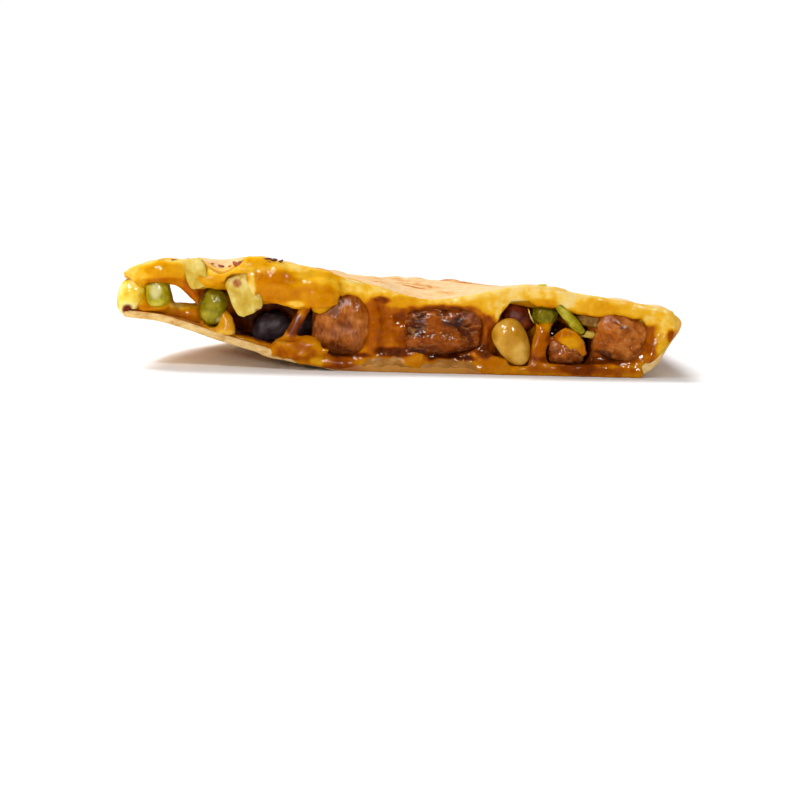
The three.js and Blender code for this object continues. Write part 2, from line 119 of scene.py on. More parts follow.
def through(knots):
    """A smooth curve through (x, value) knots, flat beyond both ends."""
    xs, vs = np.array(knots, float).T
    number = np.arange(len(xs))
    before, after = np.maximum(number - 1, 0), np.minimum(number + 1, len(xs) - 1)
    slopes = (vs[after] - vs[before]) / (xs[after] - xs[before])

    def curve(x):
        at = np.clip(np.asarray(x, float), xs[0], xs[-1])
        i = np.clip(np.searchsorted(xs, at, "right") - 1, 0, len(xs) - 2)
        width = xs[i + 1] - xs[i]
        t = (at - xs[i]) / width
        bow = t * (1 - t) ** 2 * slopes[i] - t**2 * (1 - t) * slopes[i + 1]
        return mix(vs[i], vs[i + 1], t**2 * (3 - 2 * t)) + width * bow

    return curve


def ripple(x, y, z, seed):
    """A gentle, repeatable ripple from -1 to 1."""
    return (
        np.sin(1.7 * x + 0.9 * y + 2.1 * seed)
        + np.sin(1.3 * y - 1.1 * z + 3.7 * seed)
        + np.sin(1.9 * z + 0.7 * x + 5.3 * seed)
    ) / 3


def linear(red, green, blue):
    """A colour given as it looks, 0 to 255, as Blender's linear colour."""
    def channel(c):
        c /= 255
        return c / 12.92 if c <= 0.04045 else ((c + 0.055) / 1.055) ** 2.4
    return (channel(red), channel(green), channel(blue), 1.0)


def mesh_object(name, points, faces):
    """An object from points in millimetres, in the cut's own coordinates."""
    mesh = bpy.data.meshes.new(name)
    mesh.from_pydata((np.asarray(points, float) + ORIGIN) * MM, [], faces)
    mesh.update()
    obj = bpy.data.objects.new(name, mesh)
    bpy.context.scene.collection.objects.link(obj)
    return obj


def put(obj, name, values, kind="FLOAT"):
    """Writes one value for each point of the mesh as a named attribute."""
    layer = obj.data.attributes.new(name, kind, "POINT")
    slot = "vector" if kind == "FLOAT_VECTOR" else "value"
    layer.data.foreach_set(slot, np.asarray(values, np.float32).ravel())


def points_of(obj):
    """The points of a mesh in the cut's own millimetres."""
    points = np.empty(len(obj.data.vertices) * 3)
    obj.data.vertices.foreach_get("co", points)
    return points.reshape(-1, 3) / MM - ORIGIN


def move_points(obj, points):
    """Puts the points of a mesh at other places, in the cut's own millimetres."""
    obj.data.vertices.foreach_set("co", ((points + ORIGIN) * MM).ravel())
    obj.data.update()


def values_of(obj, name):
    """One value for each point of a mesh, from a named attribute."""
    values = np.empty(len(obj.data.vertices))
    obj.data.attributes[name].data.foreach_get("value", values)
    return values


def stained(points, base, stains):
    """A tone for each point: the base, changed inside each stain with a soft, wandering border."""
    tone = base.copy()
    wander = STAIN_WANDER * ripple(points[:, 0] * 1.1, points[:, 1], points[:, 2] * 1.1, 3)
    for middle, half, value in stains:
        away = np.linalg.norm((points - middle) / half, axis=1) + wander
        tone = mix(tone, value, 1 - smooth(away, *STAIN_BORDER))
    return tone


def turn_matrix(turn):
    """Turns in degrees about X, Y and Z, as a matrix."""
    return np.array(Euler([math.radians(angle) for angle in turn]).to_matrix())


def middle_and_half(node):
    """The middle and half sizes of a CAD node's box, in the cut's own millimetres."""
    low, high = (np.array(corner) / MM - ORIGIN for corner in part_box(node))
    return (low + high) / 2, (high - low) / 2


# ---------------------------------------------------------------- node trees


class Amount:
    """What a socket carries. Arithmetic on it adds Math nodes to its tree."""

    def __init__(self, board, socket):
        self.board, self.socket = board, socket

    def other(self, name):
        """Another output of the same node."""
        return Amount(self.board, self.socket.node.outputs[name])

    def math(self, operation, *terms, clamp=False):
        settings = {"operation": operation, "use_clamp": clamp}
        return self.board.add("ShaderNodeMath", settings, dict(enumerate(terms)))

    def __add__(self, other):
        return self.math("ADD", self, other)

    def __sub__(self, other):
        return self.math("SUBTRACT", self, other)

    def __rsub__(self, other):
        return self.math("SUBTRACT", other, self)

    def __mul__(self, other):
        return self.math("MULTIPLY", self, other)

    def __truediv__(self, other):
        return self.math("DIVIDE", self, other)

    def __rtruediv__(self, other):
        return self.math("DIVIDE", other, self)

    __radd__, __rmul__ = __add__, __mul__

    def clamp(self):
        """Kept from 0 to 1."""
        return self.math("ADD", self, 0.0, clamp=True)

    def step(self, low, high):
        """0 at low and 1 at high, flat beyond both and smooth between. Low may be the larger."""
        settings = {"interpolation_type": "SMOOTHSTEP"}
        values = {"Value": self, "From Min": low, "From Max": high}
        if high < low:
            values.update({"From Min": high, "From Max": low, "To Min": 1.0, "To Max": 0.0})
        return self.board.add("ShaderNodeMapRange", settings, values)


class Board:
    """Adds nodes to one tree. A colour that isn't a link is given as it looks, 0 to 255."""

    def __init__(self, tree):
        self.tree = tree

    def add(self, kind, settings=None, values=None, out=0):
        """A node with its settings, and then the values or links of its sockets."""
        node = self.tree.nodes.new(kind)
        for name, value in (settings or {}).items():
            if name == "stops":
                self.fill_ramp(node.color_ramp, value)
            else:
                setattr(node, name, value)
        for key, value in (values or {}).items():
            if isinstance(value, Amount):
                self.tree.links.new(value.socket, node.inputs[key])
            else:
                node.inputs[key].default_value = value
        return Amount(self, node.outputs[out]) if len(node.outputs) else node

    @staticmethod
    def fill_ramp(ramp, stops):
        while len(ramp.elements) < len(stops):
            ramp.elements.new(1.0)
        for element, (place, *colour) in zip(ramp.elements, stops):
            element.position, element.color = place, linear(*colour)

    def ramp(self, factor, *stops):
        """A colour that follows a factor. A stop is its place from 0 to 1 and its colour."""
        return self.add("ShaderNodeValToRGB", {"stops": stops}, {0: factor})

    def blend(self, factor, a, b, blend_type="MIX"):
        """A colour between a and b."""
        a, b = (linear(*colour) if isinstance(colour, tuple) else colour for colour in (a, b))
        settings = {"data_type": "RGBA", "blend_type": blend_type}
        return self.add("ShaderNodeMix", settings, {0: factor, 6: a, 7: b}, out=2)

    def attribute(self, name, out="Fac"):
        return self.add("ShaderNodeAttribute", {"attribute_name": name}, out=out)

    def attributes(self, *names):
        return (self.attribute(name) for name in names)

    def named(self, name, kind="FLOAT"):
        """A mesh's attribute, as a Geometry Nodes tree reads it."""
        return self.add("GeometryNodeInputNamedAttribute", {"data_type": kind}, {"Name": name})

    def store(self, geometry, name, value):
        """The geometry with a value kept at each point, for its material."""
        settings = {"data_type": "FLOAT", "domain": "POINT"}
        values = {"Geometry": geometry, "Name": name, "Value": value}
        return self.add("GeometryNodeStoreNamedAttribute", settings, values)

    def vector(self, operation, **values):
        """Vector Math on a, and on b or by a factor."""
        sockets = {"a": 0, "b": 1, "factor": "Scale"}
        terms = {sockets[key]: value for key, value in values.items()}
        return self.add("ShaderNodeVectorMath", {"operation": operation}, terms)

    def place(self, source, stretch=(1, 1, 1), turn=(0, 0, 0)):
        """Coordinates turned and then squeezed, so that a pattern on them is stretched."""
        turned = self.add("ShaderNodeMapping", {}, {"Vector": source, "Rotation": turn})
        return self.add("ShaderNodeMapping", {}, {"Vector": turned, "Scale": stretch})

    def noise(self, source, size, detail=2.0, roughness=0.5, seed=0.0):
        """Cloudy noise with features of about `size` millimetres, from 0 to 1."""
        values = {
            "Vector": source, "Scale": 1 / (size * MM), "Detail": detail, "Roughness": roughness,
            "W": seed,
        }
        return self.add("ShaderNodeTexNoise", {"noise_dimensions": "4D"}, values)

    def warp(self, source, size, by, seed=0.0):
        """The coordinates pushed about by up to half of `by` millimetres each way."""
        push = self.noise(source, size, seed=seed).other("Color")
        centred = self.vector("SUBTRACT", a=push, b=(0.5, 0.5, 0.5))
        return self.vector("ADD", a=source, b=self.vector("SCALE", a=centred, factor=by * MM))

    def bump(self, height, depth, strength=1.0, under=None):
        """A relief `depth` millimetres deep, on top of another one."""
        values = {"Height": height, "Distance": depth * MM, "Strength": strength}
        if under is not None:
            values["Normal"] = under
        return self.add("ShaderNodeBump", {}, values)


def finish(name, paint, **constants):
    """A material. `paint` gets a board and the object's coordinates, and returns the inputs that
    change over the surface. The constants are its other inputs."""
    material = bpy.data.materials.new(name)
    material.use_nodes = True
    tree = material.node_tree
    shader = tree.nodes["Principled BSDF"]
    board = Board(tree)
    for key, value in constants.items():
        label = key.replace("_", " ").title().replace("Ior", "IOR")
        shader.inputs[label].default_value = value
    coordinates = board.add("ShaderNodeTexCoord", out="Object")
    for key, value in paint(board, coordinates).items():
        if isinstance(value, Amount):
            tree.links.new(value.socket, shader.inputs[key])
        else:
            shader.inputs[key].default_value = value
    return material


# ---------------------------------------------------------------- Geometry Nodes


def group_with(name, inputs):
    """A Geometry Nodes tree with named inputs, and the output of its input node."""
    tree = bpy.data.node_groups.new(name, "GeometryNodeTree")
    tree.interface.new_socket("Geometry", in_out="INPUT", socket_type="NodeSocketGeometry")
    for label, (kind, value) in inputs.items():
        socket = tree.interface.new_socket(label, in_out="INPUT", socket_type=f"NodeSocket{kind}")
        if value is not None:
            socket.default_value = value
    tree.interface.new_socket("Geometry", in_out="OUTPUT", socket_type="NodeSocketGeometry")
    board = Board(tree)
    return tree, board, board.add("NodeGroupInput")


def close(tree, board, geometry, material):
    """Ends a tree: shaded smooth, instances realized and the finish set."""
    shaded = board.add("GeometryNodeSetShadeSmooth", {}, {0: geometry})
    realized = board.add("GeometryNodeRealizeInstances", {}, {0: shaded})
    painted = board.add("GeometryNodeSetMaterial", {}, {0: realized, "Material": material})
    end = board.add("NodeGroupOutput")
    tree.links.new(painted.socket, end.inputs[0])
    return tree


def shove(board, geometry, height):
    """Moves each point along its normal."""
    normal = board.add("GeometryNodeInputNormal")
    offset = board.vector("SCALE", a=normal, factor=height)
    return board.add("GeometryNodeSetPosition", {}, {"Geometry": geometry, "Offset": offset})


def refining_tree():
    """Turns a plain solid into a soft, lumpy one, with a grain and with fibres along its length."""
    tree, board, start = group_with("refine", {
        "Levels": ("Int", 2), "Rounding": ("Int", 6),
        "Lump size": ("Float", 4 * MM), "Lump depth": ("Float", 0.4 * MM),
        "Fibre size": ("Float", 1 * MM), "Fibre depth": ("Float", 0.0),
        "Grain size": ("Float", 1 * MM), "Grain depth": ("Float", 0.1 * MM),
        "Seed": ("Float", 0.0), "Finish": ("Material", None),
    })
    detail = 3.0
    finer = board.add(
        "GeometryNodeSubdivideMesh", {}, {"Mesh": start, "Level": start.other("Levels")})
    position = board.add("GeometryNodeInputPosition")
    eased = board.add(
        "GeometryNodeBlurAttribute", {"data_type": "FLOAT_VECTOR"},
        {"Value": position, "Iterations": start.other("Rounding")})
    shape = board.add("GeometryNodeSetPosition", {}, {"Geometry": finer, "Position": eased})
    lengthways = board.vector("MULTIPLY", a=board.named("own", "FLOAT_VECTOR"), b=FIBRE_STRETCH)
    for part, source in {"Lump": position, "Fibre": lengthways, "Grain": position}.items():
        values = {
            "Vector": source, "W": start.other("Seed"), "Detail": detail,
            "Scale": 1.0 / start.other(f"{part} size"),
        }
        height = board.add("ShaderNodeTexNoise", {"noise_dimensions": "4D"}, values)
        shape = board.store(shape, part.lower(), height)
        shape = shove(board, shape, (height - 0.5) * start.other(f"{part} depth") * 2.0)
    return close(tree, board, shape, start.other("Finish"))


def rest(obj):
    """Presses flat what would sink into the table."""
    points = points_of(obj)
    points[:, 2] = np.maximum(points[:, 2], TABLE_GAP)
    move_points(obj, points)


def run_tree(obj, tree, values):
    """Gives an object a tree's result as its plain mesh."""
    modifier = obj.modifiers.new(tree.name, "NODES")
    modifier.node_group = tree
    for item in tree.interface.items_tree:
        if item.in_out == "INPUT" and item.name in values:
            modifier[item.identifier] = values[item.name]
    settle(obj)


def settle(obj):
    """Applies an object's modifiers."""
    bpy.context.view_layer.update()
    evaluated = obj.evaluated_get(bpy.context.evaluated_depsgraph_get())
    mesh = bpy.data.meshes.new_from_object(evaluated)
    obj.modifiers.clear()
    obj.data = mesh


REFINE = refining_tree()


# ---------------------------------------------------------------- the tortilla

top_edge, bottom_edge, crown = through(TOP_EDGE), through(BOTTOM_EDGE), through(CROWN)


def polar(x, y):
    """How many radii a place is from the wedge's corner, and its angle from the cut."""
    return np.hypot(FOLD_X - x, y) / RADIUS, np.arctan2(np.maximum(y, 0), FOLD_X - x)


def turned(angle, low, high):
    """0 up to the angle low and 1 from high on, both in degrees, and an easy curve between."""
    return smooth(angle, math.radians(low), math.radians(high))


def bottom_at(x, y):
    """Height of the bottom sheet's outer face."""
    reach, angle = polar(x, y)
    curl = bottom_edge(x) * (1 - turned(angle, 5, GAPE_ENDS))
    lift = RIM_LIFT * smooth(reach, 0.9, 1) * turned(angle, 20, 50)
    return curl + lift * (1 + LIFT_RIPPLE * np.sin(14 * angle))


def top_at(x, y):
    """Height of the top sheet's outer face."""
    reach, angle = polar(x, y)
    rim = (
        RIM_HEIGHT
        + GAPE * (1 - turned(angle, 0, GAPE_ENDS))
        + RIM_RIPPLE * np.sin(11 * angle) * turned(angle, 20, 40)
    )
    lumps = LUMP_HEIGHT * ripple(x / LUMP_SIZE, y / LUMP_SIZE, 0, 4) * smooth(y, 6, 20)
    middle = crown(x) - CROWN_SINKS * y + lumps
    dome = bottom_at(x, y) + mix(middle, rim, smooth(reach, 0.62, 0.99))
    droop = droop_at(x) * (1 - smooth(y, 0, DROOP["depth"]))
    return mix(top_edge(x), dome, smooth(y, 1, CROWN_FROM)) - droop


def droop_at(x):
    """How far the cut's lip hangs down."""
    return DROOP["by"] * np.exp(-(((x - DROOP["at"]) / DROOP["half_width"]) ** 2))


def flank(share, roundness):
    """The fold's round side: the share of the way from its outermost line to a sheet's flat."""
    return (1 - (1 - np.clip(share, 0, 1)) ** roundness) ** (1 / roundness)


# The sheet's mesh: points along each stretch across the fold, and rows from the cut to the back,
# closer together near the cut.
ACROSS = {"bottom": 104, "bottom_flank": 14, "top_flank": 10, "top": 110}
ROWS = 118
ROWS_CROWD = 1.25
LAST_ROW = 1.53  # angle of the last row, round the wedge's corner
LEAST_REACH = 4  # of the last row, from the fold
FOLD_SHARE = 0.6  # most of a row that the fold takes


def outline(y):
    """The folded sheet's outer face across the depth y, from the bottom rim to the top rim."""
    back = smooth(y, 0, FOLD_SINKS_OVER)
    fold = {key: mix(FOLD_FRONT[key], FOLD_BACK[key], back) for key in FOLD_FRONT}

    def reach(by, turns, start):
        radius = RADIUS * (1 + by * math.sin(turns * math.asin(y / RADIUS) + start))
        return math.sqrt(max(radius**2 - y * y, LEAST_REACH**2))

    bottom_reach, top_reach = reach(*BOTTOM_WAVE), reach(*TOP_WAVE)
    top_width = min(fold["top_width"], FOLD_SHARE * top_reach)
    bottom_width = min(fold["bottom_width"], FOLD_SHARE * bottom_reach)
    quarter = math.pi / 2
    steps = {key: np.arange(count) / count for key, count in ACROSS.items()}
    below = np.concatenate([
        mix(bottom_reach, bottom_width, steps["bottom"]),
        bottom_width * (1 - np.sin(steps["bottom_flank"] * quarter)),
    ])
    above = np.concatenate([
        top_width * (1 - np.cos(steps["top_flank"] * quarter)),
        mix(top_width, top_reach, np.append(steps["top"], 1.0)),
    ])
    bottom, top = bottom_at(FOLD_X - below, y), top_at(FOLD_X - above, y)
    low = mix(fold["z"], bottom, flank(below / bottom_width, fold["bottom_round"]))
    high = mix(fold["z"], top, flank(above / top_width, 2))
    x = FOLD_X - np.concatenate([below, above])
    return np.stack([x, np.full_like(x, y), np.concatenate([low, high])], 1)


def sheet_mesh(name):
    """The sheet as a closed shell: both faces as grids, joined round the edge by a rounded strip."""
    depths = RADIUS * np.sin(LAST_ROW * (np.arange(ROWS + 1) / ROWS) ** ROWS_CROWD)
    outer = np.stack([outline(y) for y in depths], 1)
    across, back = np.gradient(outer, axis=0), np.gradient(outer, axis=1)
    out = np.cross(back, across)
    out /= np.linalg.norm(out, axis=2, keepdims=True)
    inner = outer - SHEET * out
    n, m = outer.shape[:2]
    number = np.arange(n * m).reshape(n, m)
    points = [outer.reshape(-1, 3), inner.reshape(-1, 3)]
    faces = []
    for i in range(n - 1):
        for j in range(m - 1):
            quad = [number[i, j], number[i, j + 1], number[i + 1, j + 1], number[i + 1, j]]
            faces.append(quad)
            faces.append([n * m + k for k in reversed(quad)])

    def away(i, j):
        """Out of the sheet, at a point of its edge."""
        backwards = back[i, j] / np.linalg.norm(back[i, j])
        sideways = across[i, j] / np.linalg.norm(across[i, j])
        return backwards * ((j == m - 1) - (j == 0)) + sideways * ((i == n - 1) - (i == 0))

    rim = [(i, 0) for i in range(n - 1)] + [(n - 1, j) for j in range(m - 1)]
    rim += [(i, m - 1) for i in range(n - 1, 0, -1)] + [(0, j) for j in range(m - 1, 0, -1)]
    strip = [[number[i, j] for i, j in rim]]
    count = 2 * n * m
    for k in range(1, EDGE_ROWS):
        angle = math.pi * (k / EDGE_ROWS - 0.5)
        bulge, across_sheet = math.cos(angle), math.sin(angle)
        flat = np.sign(across_sheet) * abs(across_sheet) ** EDGE_FLATNESS
        ring = []
        for i, j in rim:
            stands = EDGE_STANDS["cut" if j == 0 else "rim"]
            middle = (outer[i, j] + inner[i, j]) / 2
            ring.append(middle - out[i, j] * SHEET / 2 * flat + away(i, j) * stands * bulge**0.5)
        points.append(np.array(ring))
        strip.append(list(range(count, count + len(rim))))
        count += len(rim)
    strip.append([n * m + number[i, j] for i, j in rim])
    for a, b in zip(strip, strip[1:]):
        for k in range(len(rim)):
            follow = (k + 1) % len(rim)
            faces.append([a[k], b[k], b[follow], a[follow]])
    obj = mesh_object(name, np.concatenate(points), faces)

    one_side, both_sides = np.zeros(n * m), np.zeros(2 * n * m)
    upper = np.repeat(np.arange(n) >= ACROSS["bottom"] + ACROSS["bottom_flank"], m).astype(float)
    rim_upper = np.tile([float(upper[number[i, j]]) for i, j in rim], EDGE_ROWS - 1)
    rim_cut = np.tile([float(j == 0) for i, j in rim], EDGE_ROWS - 1)
    through_edge = np.repeat(np.arange(1, EDGE_ROWS) / EDGE_ROWS, len(rim))
    all_upper = np.concatenate([upper, upper, rim_upper])
    depth = points_of(obj)[:, 1]
    put(obj, "inside", np.concatenate([one_side, np.ones(n * m), through_edge]))
    put(obj, "edge", np.concatenate([both_sides, np.ones(count - 2 * n * m)]))
    put(obj, "upper", all_upper)
    put(obj, "cut", np.concatenate([both_sides, rim_cut]))
    put(obj, "soaked", (1 - smooth(depth, 0, SOAKED_TO)) * all_upper)
    put(obj, "beside_cut", 1 - smooth(depth, *PALE_NEAR_CUT))
    put(obj, "tint", stained(points_of(obj), np.zeros(len(depth)), CUT_TINTS_AND_SHADE))
    faces_out(obj)
    return obj


def faces_out(obj):
    """Turns the faces of a closed mesh outwards."""
    work = bmesh.new()
    work.from_mesh(obj.data)
    bmesh.ops.recalc_face_normals(work, faces=work.faces)
    work.to_mesh(obj.data)
    work.free()


def toasting_tree():
    """Raises blisters on the outer face and roughens the cut edge."""
    tree, board, start = group_with("toast", {
        "Blister spacing": ("Float", 7 * MM), "Blister size": ("Float", 3.5 * MM),
        "Blister height": ("Float", 0.4 * MM), "Ripple size": ("Float", 6 * MM),
        "Ripple depth": ("Float", 0.18 * MM), "Torn depth": ("Float", 0.3 * MM),
        "Seed": ("Int", 3), "Finish": ("Material", None),
    })
    densest = 30000.0  # blisters in a square metre
    wobble_size, torn_size = 2.2 * MM, 0.9 * MM
    outside = board.named("inside").step(0.5, 0.0)
    edge = board.named("edge")
    spots = board.add(
        "GeometryNodeDistributePointsOnFaces", {"distribute_method": "POISSON"},
        {
            "Mesh": start, "Distance Min": start.other("Blister spacing"), "Density Max": densest,
            "Seed": start.other("Seed"), "Selection": outside.math("GREATER_THAN", outside, 0.9),
        },
    )
    near = board.add("GeometryNodeProximity", {"target_element": "POINTS"}, {0: spots}, out="Distance")
    wobble = board.add("ShaderNodeTexNoise", {}, {"Scale": 1 / wobble_size, "Detail": 2.0})
    share = near / (start.other("Blister size") * (0.5 + wobble))
    blister = share.step(1.0, 0.25) * outside
    marked = board.store(start, "blister", blister)
    swollen = shove(board, marked, blister * start.other("Blister height"))
    long_waves = {"Scale": 1.0 / start.other("Ripple size"), "Detail": 3.0}
    waves = board.add("ShaderNodeTexNoise", {}, long_waves)
    waved = shove(board, swollen, (waves - 0.5) * start.other("Ripple depth") * outside * 2.0)
    torn = board.add("ShaderNodeTexNoise", {}, {"Scale": 1 / torn_size, "Detail": 4.0})
    ragged = shove(board, waved, (torn - 0.5) * start.other("Torn depth") * edge * 2.0)
    return close(tree, board, ragged, start.other("Finish"))


# Tints on the sheet's cut edge, where sauce and cheese have run over it, and in the first and third
# partly painted shade along the foot of the bottom sheet: place, half sizes, and tint from 0, bare,
# over 0.4, mustard, to 1, brown.
CUT_TINTS_AND_SHADE = [
    ((4, 0, 0.8), (18, 3, 2.6), 0.66), ((-13.6, 0, 0.8), (5.0, 3, 2.6), 1.0),
    ((35, 0, 0.6), (17, 3, 2.4), 0.95), ((61, 0, 11), (3.4, 3, 4.4), 0.42),
    ((61.6, 0, 9.8), (1.0, 3, 1.6), 0.85),
]

CREAM = (226, 192, 144)
CRUST = (222, 176, 116)
GOLDEN = (200, 134, 70)
TOASTED = (166, 90, 40)
SCORCHED = (104, 46, 20)


def paint_tortilla(board, at):
    inside, edge, upper, cut = board.attributes("inside", "edge", "upper", "cut")
    blister, soaked, beside_cut, tint = board.attributes("blister", "soaked", "beside_cut", "tint")

    bent = board.warp(board.warp(at, 14, 9), 4, 2.5, 3.0)
    lengthways = board.place(bent, (0.5, 1.2, 1), (0, 0, 0.35))
    patches = board.noise(lengthways, 13, 2, 0.5, seed=2.0)
    islands = board.noise(lengthways, 5.5, 2, 0.55, seed=5.0)
    streaks = board.noise(board.place(bent, (0.3, 2.0, 1), (0, 0, 0.25)), 3, 3, 0.6, seed=7.0)
    mottle = board.noise(at, 1.7, 5, 0.7, seed=8.0)
    heat = patches * 0.5 + islands * 0.26 + streaks * 0.2 + mottle * 0.2 + blister * 0.05
    heat = heat - beside_cut * 0.09
    toast = board.ramp(
        heat, (0.0, *CREAM), (0.53, *CREAM), (0.57, *CRUST), (0.61, *GOLDEN), (0.66, *TOASTED),
        (0.74, *SCORCHED))
    floured = board.blend(mottle.step(0.35, 0.7) * 0.4, toast, CREAM, "MULTIPLY")
    wandering = soaked + (board.noise(at, 3.4, 3, 0.6, seed=14.0) - 0.5) * 0.9
    stained_face = board.blend(wandering.step(0.42, 0.8) * 0.85, floured, (232, 166, 34))

    crumb = board.noise(board.place(at, (1, 1, 2.4)), 1.6, 3, 0.55, seed=3.0)
    cloud = board.noise(at, 8, 2, 0.5, seed=6.0)
    pale_cut = board.ramp(
        crumb * 0.4 + cloud * 0.6,
        (0.34, 164, 112, 40), (0.44, 200, 152, 78), (0.54, 226, 188, 120), (0.7, 246, 218, 162))
    rich_cut = board.ramp(
        crumb * 0.2 + cloud * 0.3 + inside * 0.5,
        (0.3, 246, 222, 168), (0.42, 240, 194, 84), (0.56, 228, 160, 8), (0.72, 222, 146, 0))
    # Tint of the cut edge: sauce and cheese run over it, and painted shade along the foot of the
    # bottom sheet.
    run_over_and_shade = board.ramp(
        tint + (crumb - 0.5) * 0.3,
        (0.3, 222, 170, 66), (0.5, 206, 148, 44), (0.75, 180, 104, 20), (1.0, 156, 76, 12))
    bare_cut = board.blend(upper, pale_cut, rich_cut)
    cut_colour = board.blend(tint.step(0.08, 0.4) * 0.88, bare_cut, run_over_and_shade)

    soak = board.noise(at, 7, 3, 0.6, seed=11.0)
    lining = board.ramp(soak, (0.3, 150, 70, 0), (0.5, 196, 110, 4), (0.66, 232, 170, 70))
    face = board.blend(inside.step(0.4, 0.8), stained_face, lining)
    colour = board.blend(edge.step(0.2, 0.7) * cut.step(0.3, 0.8), face, cut_colour)
    relief = board.bump(board.noise(at, 0.55, 3, 0.7), 0.1, 0.5)
    relief = board.bump(mottle, 0.35, 0.6, relief)
    rough = 0.62 + inside.step(0.5, 0.1) * 0.12 - heat.step(0.55, 0.7) * 0.1
    return {"Base Color": colour, "Roughness": rough, "Normal": relief}


def make_tortilla():
    material = finish(
        "toasted_tortilla", paint_tortilla, specular_ior_level=0.15, subsurface_weight=0.1,
        subsurface_scale=1.5 * MM, subsurface_radius=(1.0, 0.6, 0.3))
    obj = sheet_mesh("tortilla_sheet")
    run_tree(obj, toasting_tree(), {"Finish": material})
    rest(obj)
    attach(obj, "root")
    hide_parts("tortilla")


# ---------------------------------------------------------------- the filling's pieces


def solid_copy(node):
    """A CAD node's points, in the cut's own millimetres, and faces, with its doubles merged."""
    work = bmesh.new()
    work.from_mesh(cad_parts[node].data)
    bmesh.ops.remove_doubles(work, verts=work.verts, dist=1e-6)
    points = np.array([v.co for v in work.verts]) / MM - ORIGIN
    faces = [[v.index for v in f.verts] for f in work.faces]
    work.free()
    return points, faces


def gathered(name, pieces):
    """One object from several CAD nodes. Each keeps its own coordinates, turned to its grain, its
    tone and its number."""
    points, faces, own, tone, number = [], [], [], [], []
    for node, (turn, shade) in pieces.items():
        co, polygons = solid_copy(node)
        first = sum(len(p) for p in points)
        faces += [[first + k for k in polygon] for polygon in polygons]
        middle = (co.min(0) + co.max(0)) / 2
        own.append((co - middle) @ turn_matrix(turn) * MM)
        tone.append(np.full(len(co), shade))
        number.append(np.full(len(co), len(number)))
        points.append(co)
    obj = mesh_object(name, np.concatenate(points), faces)
    put(obj, "own", np.concatenate(own), "FLOAT_VECTOR")
    put(obj, "tone", np.concatenate(tone))
    put(obj, "number", np.concatenate(number))
    return obj


def square_up(obj, pieces, before, after):
    """Makes each piece less round and more like a cut block, except those that the rim has pressed.
    Both numbers are powers: 2 is an ellipsoid, and a large one is a brick."""
    points, number = points_of(obj), values_of(obj, "number")
    own = np.empty(len(points) * 3)
    obj.data.attributes["own"].data.foreach_get("vector", own)
    own = own.reshape(-1, 3) / MM
    for k, (node, (turn, _)) in enumerate(pieces.items()):
        if node.startswith("rim"):
            continue
        mine = np.abs(number - k) < 0.5
        share = np.maximum(np.abs(own[mine]) / np.abs(own[mine]).max(0), 1e-6)
        swell = (share**before).sum(1) ** (1 / before) / (share**after).sum(1) ** (1 / after)
        points[mine] += own[mine] * (swell - 1)[:, None] @ turn_matrix(turn).T
    move_points(obj, points)


def refit(obj, nodes):
    """Stretches each piece back to the box of its node, which the rounding has shrunk. Returns how
    high each point stands in its piece, from 0 to 1."""
    points, number = points_of(obj), values_of(obj, "number")
    rise = np.empty(len(points))
    for k, node in enumerate(nodes):
        mine = np.abs(number - k) < 0.5
        low, high = points[mine].min(0), points[mine].max(0)
        goal_low, goal_high = (np.array(corner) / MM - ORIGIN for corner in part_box(node))
        share = (points[mine] - low) / (high - low)
        points[mine] = goal_low + share * (goal_high - goal_low)
        rise[mine] = share[:, 2]
    move_points(obj, points)
    return rise


def make_pieces(
    name, pieces, material, stains=(), lumps=(1, 0), grain=(1, 0), fibres=(1, 0),
    rounding=8, seed=1.0, square=(2, 2),
):
    """Several CAD nodes as one object. Lumps, grain and fibres each have a size and a depth."""
    obj = gathered(name, pieces)
    values = {"Levels": 3, "Rounding": rounding, "Seed": seed, "Finish": material}
    for part, (size, depth) in {"Lump": lumps, "Grain": grain, "Fibre": fibres}.items():
        values[f"{part} size"] = size * MM
        values[f"{part} depth"] = depth * MM
    run_tree(obj, REFINE, values)
    square_up(obj, pieces, *square)
    put(obj, "rise", refit(obj, pieces))
    points = points_of(obj)
    put(obj, "stain", stained(points, np.zeros(len(points)), [(*stain, 1.0) for stain in stains]))
    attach(obj, "root")
    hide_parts(*pieces)


# Each node's grain, as a turn in degrees, and its tone. That goes from dark to pale, for corn from
# rich over butter yellow to soft, and for beans from black to red. Above 1, sauce covers chicken.
CHICKEN = {"meat_left": ((0, 0, 0), 0.62), "meat_gold": ((0, 90, 0), 1.8)}
BROWNED_CHICKEN = {
    "meat_char": ((0, 87, 0), 0.0), "meat_fold": ((0, -70, 0), 0.86), "meat_small": ((0, 90, 0), 0.1),
    "rim_meat_3": ((90, 0, 40), 0.5),
}
CORN = {
    "corn_end": ((0, 22, 0), 0.5), "corn_lip": ((0, 12, 0), 0.0), "corn_mid": ((0, -30, 0), 1.0),
    "rim_corn_1": ((0, 0, 30), 0.3), "rim_corn_4": ((0, 0, 50), 0.4), "rim_corn_7": ((0, 0, 70), 0.2),
}
BEANS = {
    "bean_black": ((0, 78, 0), 0.0), "bean_rear": ((0, 60, 0), 0.1), "bean_red": ((0, -52, 0), 1.0),
    "rim_bean_6": ((0, 0, 0), 0.2),
}
PEPPERS = {
    "pepper_end": ((0, -14, 0), 0.9), "pepper_cut": ((0, 12, 0), 0.3), "pepper_back": ((0, 0, 0), 0.0),
    "pepper_curl": ((0, -44, 0), 0.75), "rim_pepper_2": ((0, 0, 40), 0.4),
}
ONIONS = {
    "onion_top": ((0, -16, 0), 0.7), "onion_slab": ((0, -24, 0), 0.7), "onion_back": ((0, 8, 0), 0.0),
    "onion_chip": ((0, 6, 0), 0.6), "rim_onion_5": ((0, 0, 50), 0.6),
}

